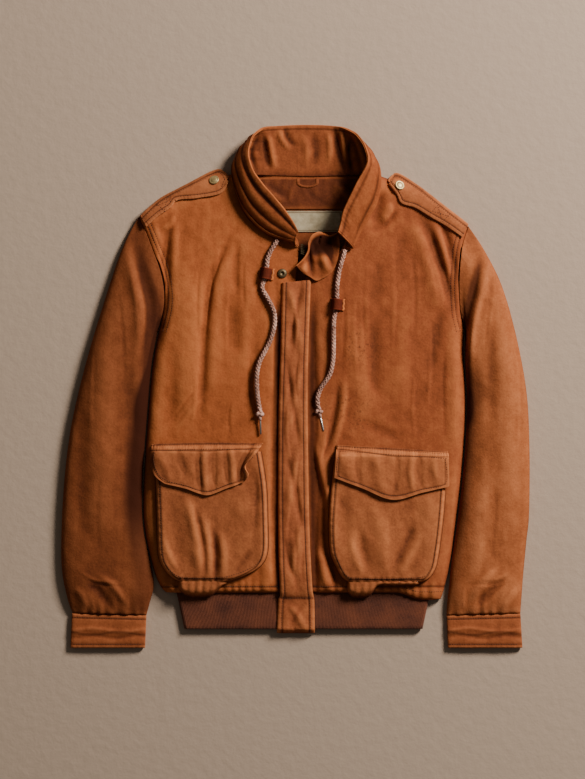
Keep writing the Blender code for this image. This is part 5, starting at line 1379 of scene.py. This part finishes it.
# Flaps
# A pointed flap of two layers hangs over each pocket's mouth. It is sewn on along its top by two close
# rows, between which the leather puckers, and topstitched round its free edges. The left one's corner is
# turned up.
FLAP_DROP = 62.0
FLAP_WIDTH = 168.0
FLAP_FOLDS_LEFT = [
    (6, 5.0, [(-48, -78), (-62, -104), (-71, -124), (-66, -158)]),
    (4, -3.0, [(-58, -80), (-76, -106), (-84, -126), (-84, -156)]),
    (4, -2.4, [(-143, -82), (-146, -120), (-139, -172)]), (5, 1.8, [(-135, -82), (-136, -125), (-131, -172)]),
    (4, -1.8, [(-120, -82), (-122, -120), (-119, -166)]),
    (4, -1.6, [(-106, -80), (-104, -115), (-100, -160)]),
    (4, 1.6, [(-98, -80), (-94, -115), (-92, -158)]), (7, 1.5, [(-205, -90), (-196, -118), (-180, -152)]),
    (5, -1.2, [(-180, -84), (-172, -110), (-162, -144)]),
]
FLAP_FOLDS_RIGHT = [
    (5, -1.4, [(97, -84), (92, -115), (98, -158)]), (8, 1.5, [(118, -86), (124, -125), (138, -176)]),
    (4, 1.5, [(178, -88), (172, -125), (178, -168)]), (4, -1.5, [(188, -88), (184, -120), (190, -162)]),
    (9, 1.3, [(72, -92), (76, -118), (84, -146)]), (4, -1.2, [(150, -88), (152, -125), (146, -170)]),
    (5, 1.3, [(212, -92), (208, -120), (214, -154)]),
]


def flap_grid(top, low, left, right, folds, below, seed):
    """A flap's underside, from its free lower edge up to the seam along its top."""
    down = steps(FLAP_DROP, 1.6, 0.6)[::-1, None]
    w = steps(FLAP_WIDTH, 1.8, 0.6)[None, :]
    d = down[..., None]
    straight = along(top, w[0])[None] * (1 - d) + along(low, w[0])[None] * d
    bows = []
    for side in (left, right):
        ends = np.array([side[0], side[-1]], float)
        bows.append((along(side, down[:, 0]) - between(ends[0], ends[1], down))[:, None])
    place = straight + bows[0] * (1 - w[..., None]) + bows[1] * w[..., None]
    x, y = place[..., 0], place[..., 1]
    from_low = (1 - down) * FLAP_DROP
    inset = np.minimum(from_low, np.minimum(w, 1 - w) * FLAP_WIDTH)
    from_top = down * FLAP_DROP
    seam = near(from_top, 5.0, 5.0)
    puckers = 0.8 * np.sin(x / 0.62 + 1.5 * np.sin(x / 7.0 + seed)) * seam
    rows = near(from_top, 2.0, 0.9) + near(from_top, 9.0, 0.9)
    detail = puckers - 0.7 * rows - 0.55 * near(inset, 5.0, 1.1) * (from_top > 11)
    detail = detail + 0.4 * unrest(x, y, 7.0, seed) + 0.2 * unrest(x, y, 3.0, seed + 2)
    lift = 1.1 + 0.8 * down + 1.3 * ridges(x, y, folds) + detail
    level = ground_under(below, x, y, 4, 16) + np.maximum(lift, 0.3)
    relief = 1.5 * (level - softened(level, 12))
    rub = 1.1 * fading(inset, 1.6) + 0.35 * near(from_top, 5.5, 2.0)
    rub = rub - 1.0 * near(inset, 5.0, 0.9) * (from_top > 11) - 0.9 * rows
    return np.dstack([x, y, level]), relief, rub


pocket_top = [tree_of(front_left, front_right), tree_of(*pockets)]
flaps = []
for side, grids in (
        ("left", flap_grid([(-215, -87), (-130, -85), (-49, -86)],
                           [(-195, -146), (-165, -153), (-133, -163), (-103, -153), (-76, -143)],
                           [(-215, -87), (-217, -112), (-210, -134), (-195, -146)],
                           [(-49, -86), (-60, -102), (-74, -119), (-70, -132), (-76, -143)],
                           FLAP_FOLDS_LEFT, pocket_top, 1.0)),
        ("right", flap_grid([(61, -88), (140, -93), (228, -99)],
                            [(58, -137), (100, -153), (145, -170), (187, -160), (229, -150)],
                            [(61, -88), (60, -112), (58, -137)], [(228, -99), (229, -125), (229, -150)],
                            FLAP_FOLDS_RIGHT, pocket_top, 3.0))):
    grid, relief, wear_and_shade = grids
    piece = shell("flap_%s_shell" % side, grid, pocket_leather, "flap_" + side, LEATHER_WALL, 1.0,
                  relief=relief, wear_and_shade=wear_and_shade)
    flaps.append(piece)

# Epaulettes
# A shoulder strap of two layers runs from each armhole seam to a rounded end near the collar, where a snap
# holds it. It is topstitched round and crossed by a stitched box at its base.
STRAP_LENGTH = 150.0
STRAP_WIDTH = 28.0
STRAP_WALL = 2.4
STRAP_EDGES = {
    "left": ([(-232, 255), (-215, 271), (-197, 285), (-160, 304), (-122, 324), (-108, 322), (-102, 312)],
             [(-224, 240), (-206, 256), (-188, 268), (-178, 279), (-143, 283), (-112, 290), (-102, 308)]),
    "right": ([(259, 242), (238, 258), (220, 272), (186, 299), (155, 319), (144, 315), (140, 307)],
              [(250, 224), (226, 241), (203, 254), (180, 268), (160, 274), (153, 287), (141, 304)]),
}
strap_leather = nubuck("brown_nubuck_straps", "#c67747", "#9b552f", "#5a2a15")


def strap_grid(upper, lower, curl, below, seed):
    """An epaulette's underside between its two long edges."""
    t = steps(STRAP_LENGTH, 1.8, 0.6)
    top = along(upper, t)[None]
    low = along(lower, t)[None]
    s = steps(STRAP_WIDTH, 1.4, 0.5)[:, None]
    place = low + (top - low) * s[..., None]
    x, y = place[..., 0], place[..., 1]
    wide = np.linalg.norm(top - low, axis=2)
    inset = np.minimum(np.minimum(s, 1 - s) * wide, (1 - t[None]) * STRAP_LENGTH + 6.0)
    detail = 0.35 * unrest(x, y, 6.0, seed) - 0.55 * near(inset, 4.5, 1.1)
    detail = detail + 0.3 * np.sin(t[None] * 190.0 + 2 * s) * fading(inset, 4.0)
    lift = 0.5 + ridges(x, y, curl) + detail + 0.6 * rounded(inset, 4.0)
    level = ground_under(below, x, y, 3, 18) + np.maximum(lift, 0.3)
    rub = 1.3 * fading(inset, 1.4) - 1.1 * near(inset, 4.5, 0.9)
    return np.dstack([x, y, level]), 1.4 * (level - softened(level, 12)), rub


shoulder_top = [tree_of(front_left, front_right, back)]
straps = {}
for side, curl, seed in (("left", (8, 1.5, [(-104, 320), (-104, 300)]), 1.0),
                         ("right", (7, 3.0, [(146, 312), (154, 288)]), 2.0)):
    grid, relief, wear_and_shade = strap_grid(*STRAP_EDGES[side], [curl], shoulder_top, seed)
    if side == "right":
        grid, relief, wear_and_shade = grid[:, ::-1], relief[:, ::-1], wear_and_shade[:, ::-1]
    piece = shell("epaulette_%s_shell" % side, grid, strap_leather, "epaulette_" + side,
                  STRAP_WALL, 1.0, relief=relief, wear_and_shade=wear_and_shade)
    straps[side] = piece

# Snaps
# Press studs pressed from brass sheet: two worn caps hold the straps, and an open socket, gone dark, sits
# near the throat. Each has a rolled rim and a shallow dome.
brass, shading, shader, place = new_material("pressed_brass_worn", 0.42, metallic=0.55)
scratches = add_node(shading, NOISE, {"Vector": place, "Scale": 350.0, "Detail": 6.0, "Roughness": 0.7})
tone = add_node(shading, MIX, {0: scratches, 6: linear("#7d6236"), 7: linear("#d8bd82")}, data_type="RGBA")
dress(shading, shader, tone.outputs[2], scratches, 0.3, 0.0003)
CAP = [(0.0, 2.9), (1.6, 2.85), (3.2, 2.65), (4.6, 2.2), (5.2, 1.8), (5.6, 1.75), (6.2, 2.0), (6.9, 1.8),
       (7.4, 1.1),
       (7.5, 0.5), (7.2, 0.0), (0.0, 0.0)]
SOCKET = [(0.0, 0.8), (2.0, 0.8), (2.3, 1.2), (2.5, 2.3), (3.0, 2.6), (4.4, 2.5), (5.0, 2.1), (5.5, 2.1),
          (6.2, 1.9),
          (6.9, 1.2), (7.2, 0.5), (7.1, 0.0), (0.0, 0.0)]
SNAP_SIDES = 36


def turned(name, profile, middle, lean, material, slot, node):
    """A round piece turned from a profile of radius and height, leaning with what it sits on."""
    lean = np.array([lean[0], lean[1], 1.0]) / math.hypot(lean[0], lean[1], 1.0)
    side = np.cross(lean, (0.0, 1.0, 0.0))
    side = side / np.linalg.norm(side)
    ahead = np.cross(lean, side)
    angles = np.linspace(0, 2 * np.pi, SNAP_SIDES, endpoint=False)
    rings = []
    for radius, height in profile[1:-1]:
        rings.append([middle + lean * height + radius * (side * math.cos(a) + ahead * math.sin(a))
                      for a in angles])
    vertices = [middle + lean * profile[0][1]] + [p for ring in rings for p in ring]
    vertices.append(middle + lean * profile[-1][1])
    faces = []
    for k in range(SNAP_SIDES):
        after = (k + 1) % SNAP_SIDES
        faces.append((0, 1 + after, 1 + k))
        for j in range(len(rings) - 1):
            a, b = 1 + j * SNAP_SIDES, 1 + (j + 1) * SNAP_SIDES
            faces.append((a + k, a + after, b + after, b + k))
        final = 1 + (len(rings) - 1) * SNAP_SIDES
        faces.append((final + k, final + after, len(vertices) - 1))
    return mesh_piece(name, vertices, faces, material, node)


def sits_on(piece, x, y, reach):
    """The level and the lean of a piece under a small round thing."""
    tree = tree_of(piece)
    spots = heights(tree, x + reach * np.array([1.0, -1.0, 0, 0]), y + reach * np.array([0, 0, 1.0, -1.0]))
    lean = (-(spots[0] - spots[1]) / (2 * reach), -(spots[2] - spots[3]) / (2 * reach))
    return np.array([x, y, spots.mean() + 0.3]), lean


for name, base, x, y, profile, material, slot in (
        ("snap_left", straps["left"], -122, 309, CAP, brass, "aged_brass"),
        ("snap_right", straps["right"], 156, 301, CAP, brass, "aged_brass"),
        ("snap_socket", front_left, -20, 169, SOCKET, tarnish, "dark_metal")):
    middle, lean = sits_on(base, x, y, 6.0)
    turned(name + "_metal", profile, middle, lean, material, slot, name)

# Keepers
# A small loop of dark red-brown leather is sewn down beside each drawcord, which runs through it. A raw
# edge strip of lighter leather shows on its right.
keeper_leather = nubuck("redbrown_leather_loops", "#83351c", "#5d2413", "#381409")
KEEPER_HALF = 8.5
KEEPER_WALL = 1.3
KEEPER_SECTION = [(-8.5, 0.0), (-7.4, 0.1), (-6.6, 0.6), (-5.9, 1.8), (-5.4, 3.6), (-5.0, 5.8),
                  (-4.4, 7.6), (-3.4, 8.8),
                  (-2.0, 9.3), (0.0, 9.4), (2.0, 9.3), (3.4, 8.8), (4.4, 7.6), (5.0, 5.8), (5.4, 3.6),
                  (5.9, 1.8),
                  (6.6, 0.6), (7.4, 0.1), (8.5, 0.0)]
for side, base, x, y, lean in (("left", front_left, -44.3, 169, -0.17),
                               ("right", front_right, 61.6, 122.5, -0.08)):
    tree = tree_of(base)
    off = np.linspace(-KEEPER_HALF, KEEPER_HALF, 7)
    ground = heights(tree, *np.meshgrid(x + off, y + off)).max() + 0.3
    section = np.array(KEEPER_SECTION)
    length = np.linspace(-KEEPER_HALF, KEEPER_HALF, 14)[:, None]
    flare = 1 + 0.04 * np.abs(length / KEEPER_HALF) ** 2
    px = x + section[:, 0] * flare * math.cos(lean) - length * math.sin(lean)
    py = y + section[:, 0] * flare * math.sin(lean) + length * math.cos(lean)
    level = ground + section[:, 1] * flare - 0.25 * near(np.abs(length), 6.0, 1.0)
    grid = np.dstack([px, py, level])
    rub = fading(KEEPER_HALF - np.abs(length), 1.2)
    piece = shell("keeper_%s_loop" % side, grid, keeper_leather, "keeper_" + side, KEEPER_WALL, 1.0,
                  wear_and_shade=rub)
    strip_x = np.array([8.9, 9.6, 10.6, 11.3])[None, :]
    sway = 0.5 * np.sin(length * 0.9)
    px = x + (strip_x + sway) * math.cos(lean) - length * 1.05 * math.sin(lean)
    py = y + (strip_x + sway) * math.sin(lean) + length * 1.05 * math.cos(lean)
    level = heights(tree, px, py) + 0.3 + np.array([0.2, 1.0, 1.0, 0.2])[None, :]
    mesh = np.dstack([px, py, level])
    shell("keeper_%s_edge" % side, mesh, leather_left, None, 0.9, 1.0, relief=1.0, wear_and_shade=1.0)

# Topstitching
# The seams are sewn with thick waxed thread a little darker than the leather: two rows beside the armholes,
# one or two round the pockets, flaps, straps, placket and cuffs. Stitches are 3 mm long with a
# small space between them.
STITCH_PITCH = 3.6
STITCH_LENGTH = 2.7
STITCH_WIDTH = 0.9
thread, shading, shader, place = new_material("waxed_polyester_thread", 0.7)
soil = add_node(shading, NOISE, {"Vector": place, "Scale": 120.0, "Detail": 3.0})
tone = add_node(shading, MIX, {0: soil, 6: linear("#2e1206"), 7: linear("#6a3818")}, data_type="RGBA")
dress(shading, shader, tone.outputs[2])


def stitch_tree():
    """Small oval stitches laid end to end along paths, with a slightly uneven size."""
    tree, given, out = new_tree("stitching", [("Pitch", "NodeSocketFloat"), ("Length", "NodeSocketFloat"),
                                              ("Width", "NodeSocketFloat"),
                                              ("Material", "NodeSocketMaterial")])
    points = add_node(tree, "GeometryNodeCurveToPoints",
                      {"Curve": given["Geometry"], "Length": given["Pitch"]}, mode="LENGTH")
    turn = add_node(tree, "FunctionNodeAlignRotationToVector", {"Vector": points.outputs["Tangent"]},
                    axis="X")
    ball = add_node(tree, "GeometryNodeMeshUVSphere", {"Segments": 6, "Rings": 4, "Radius": 0.5})
    size = add_node(tree, "ShaderNodeCombineXYZ", {0: given["Length"], 1: given["Width"], 2: given["Width"]})
    uneven = add_node(tree, "FunctionNodeRandomValue",
                      {"Min": (0.85, 0.9, 0.8), "Max": (1.1, 1.15, 1.1), "Seed": 4}, data_type="FLOAT_VECTOR")
    scale = add_node(tree, VECTOR_MATH, {0: size, 1: uneven}, operation="MULTIPLY")
    laid = add_node(tree, "GeometryNodeInstanceOnPoints",
                    {"Points": points, "Instance": ball, "Rotation": turn, "Scale": scale})
    return end_tree(tree, laid, given, out)


def inside(points, amount):
    """A line moved to its left by an amount."""
    fine = along(points, np.linspace(0, 1, 80))
    way = np.gradient(fine, axis=0)
    way = way / np.linalg.norm(way, axis=1)[:, None]
    return fine + np.column_stack([-way[:, 1], way[:, 0]]) * amount


def draped(tree, line):
    """A line in the plane laid on what is below, in stretches that skip what isn't on it."""
    fine = along(line, np.linspace(0, 1, max(8, int(length_of(line) / 1.8))))
    level = heights(tree, fine[:, 0], fine[:, 1], fill=False)
    stretches = []
    now = []
    for (x, y), z in zip(fine, level):
        if z < 0 or (now and abs(z - now[-1][2]) > 3.0):
            stretches.append(now)
            now = []
        if z >= 0:
            now.append((x, y, z + 0.12))
    stretches.append(now)
    return [stretch for stretch in stretches if len(stretch) > 2]


def sew(name, piece, lines):
    """All the stitches on one piece, as one mesh."""
    tree = tree_of(piece)
    paths = [stretch for line in lines for stretch in draped(tree, line)]
    values = {"Pitch": STITCH_PITCH * MM, "Length": STITCH_LENGTH * MM, "Width": STITCH_WIDTH * MM,
              "Material": thread}
    made = grown("stitches_" + name, path_object("seams_" + name, paths), sewing, values)


sewing = stitch_tree()
sew("front_left", front_left, [inside(ARMHOLE_LEFT, -6.5), inside(ARMHOLE_LEFT, -12.0),
                               [(x, HEM_Y + 8.0) for x in np.linspace(-205, -28, 40)]])
straight_hem = [(x, HEM_Y + 8.0) for x in np.linspace(30, 150, 30)]
curved_hem = [(x, HEM_Y + 8.0 - 8.0 * ease((x - 150) / 40)) for x in np.linspace(155, 222, 20)]
sew("front_right", front_right, [inside(ARMHOLE_RIGHT, 6.5), inside(ARMHOLE_RIGHT, 12.0),
                                 straight_hem + curved_hem])
sew("placket", placket, [inside(PLACKET_LEFT, -5.5), inside(PLACKET_RIGHT, 5.5),
                         [(-24, TAB_SEAM_Y), (26, TAB_SEAM_Y)]])
pocket_lines = {
    "left": [inside(POCKET_LEFT_EDGE, 6.0), inside(POCKET_LEFT_INNER, -6.0),
             [(-176, -285), (-140, -287), (-102, -285)]],
    "right": [inside(POCKET_RIGHT_INNER, 6.0), inside(POCKET_RIGHT_EDGE, -6.0),
              [(80, -286), (130, -288), (184, -286)]],
}
flap_lines = {
    "left": [[(-212, -89.3), (-130, -87.3), (-52, -88.3)], [(-213, -96), (-130, -94), (-55, -95)],
             [(-211, -99), (-212, -113), (-205, -131), (-192, -141), (-165, -148), (-133, -158), (-105, -148),
              (-82, -139)], [(-57, -98), (-66, -108), (-77, -119), (-75, -132)]],
    "right": [[(64, -90.3), (140, -95.3), (225, -101.3)], [(64, -97), (140, -102), (225, -108)],
              [(65, -100), (64, -132), (100, -147.5), (145, -164), (187, -154.5), (224, -145), (224, -110)]],
}
for side, pocket, flap in (("left", pockets[0], flaps[0]), ("right", pockets[1], flaps[1])):
    sew("pocket_" + side, pocket, pocket_lines[side])
    sew("flap_" + side, flap, flap_lines[side])
strap_boxes = {
    "left": [[(-207, 273), (-196, 262)], [(-191, 284), (-180, 279)], [(-207, 271), (-184, 281)],
             [(-196, 265), (-192, 283)]],
    "right": [[(231, 258), (221, 247)], [(213, 271), (203, 260)], [(229, 255), (206, 262)],
              [(219, 250), (214, 268)]],
}
for side, way in (("left", -1), ("right", 1)):
    upper, lower = STRAP_EDGES[side]
    sew("strap_" + side, straps[side],
        [inside(upper, 4.5 * way), inside(lower, -4.5 * way)] + strap_boxes[side])
for side, way in (("left", -1), ("right", 1)):
    lines = []
    for down in (0.11, 0.89):
        lines.append([(way * (between(336, 338, down) - 6), between(-341.4, -393, down)),
                      (way * 280, between(-343, -393, down)),
                      (way * (between(225, 227, down) + 6), between(-344.4, -393, down))])
    sew("cuff_" + side, cuff_shells[side], lines)

# Floor and light
# The jacket lies on a plain pale taupe surface with a faint unevenness, lit by one soft light from the
# upper right and a weak even light from all round.
KEY_PLACE = (2.3, 2.1, 1.9)
KEY_WIDTH = 1.0
KEY_POWER = 232.0
KEY_COLOUR = (1.0, 0.965, 0.945)
ROOM_COLOUR = (1.0, 0.98, 0.95, 1.0)
ROOM_LIGHT = 0.09
FLOOR_REACH = 3.0
floor_mesh = bpy.data.meshes.new("floor")
floor_mesh.from_pydata([(-FLOOR_REACH, -FLOOR_REACH, 0), (FLOOR_REACH, -FLOOR_REACH, 0),
                        (FLOOR_REACH, FLOOR_REACH, 0), (-FLOOR_REACH, FLOOR_REACH, 0)], [], [(0, 1, 2, 3)])
card, shading, shader, place = new_material("painted_board", 0.9)
brushed = add_node(shading, NOISE, {"Vector": place, "Scale": 70.0, "Detail": 8.0, "Roughness": 0.6})
tone = add_node(shading, MIX, {0: brushed, 6: linear("#b39a83"), 7: linear("#bda48b")}, data_type="RGBA")
dress(shading, shader, tone.outputs[2], brushed, 0.3, 0.003)
floor_mesh.materials.append(card)
floor = bpy.data.objects.new("floor", floor_mesh)
bpy.context.scene.collection.objects.link(floor)
lamp = bpy.data.lights.new("key", "AREA")
lamp.energy = KEY_POWER
lamp.size = KEY_WIDTH
lamp.color = KEY_COLOUR
key = bpy.data.objects.new("key", lamp)
key.location = KEY_PLACE
key.rotation_euler = Vector(KEY_PLACE).to_track_quat("Z", "Y").to_euler()
bpy.context.scene.collection.objects.link(key)
world = bpy.data.worlds.new("studio")
bpy.context.scene.world = world
world.use_nodes = True
room = world.node_tree.nodes["Background"]
room.inputs["Color"].default_value = ROOM_COLOUR
room.inputs["Strength"].default_value = ROOM_LIGHT
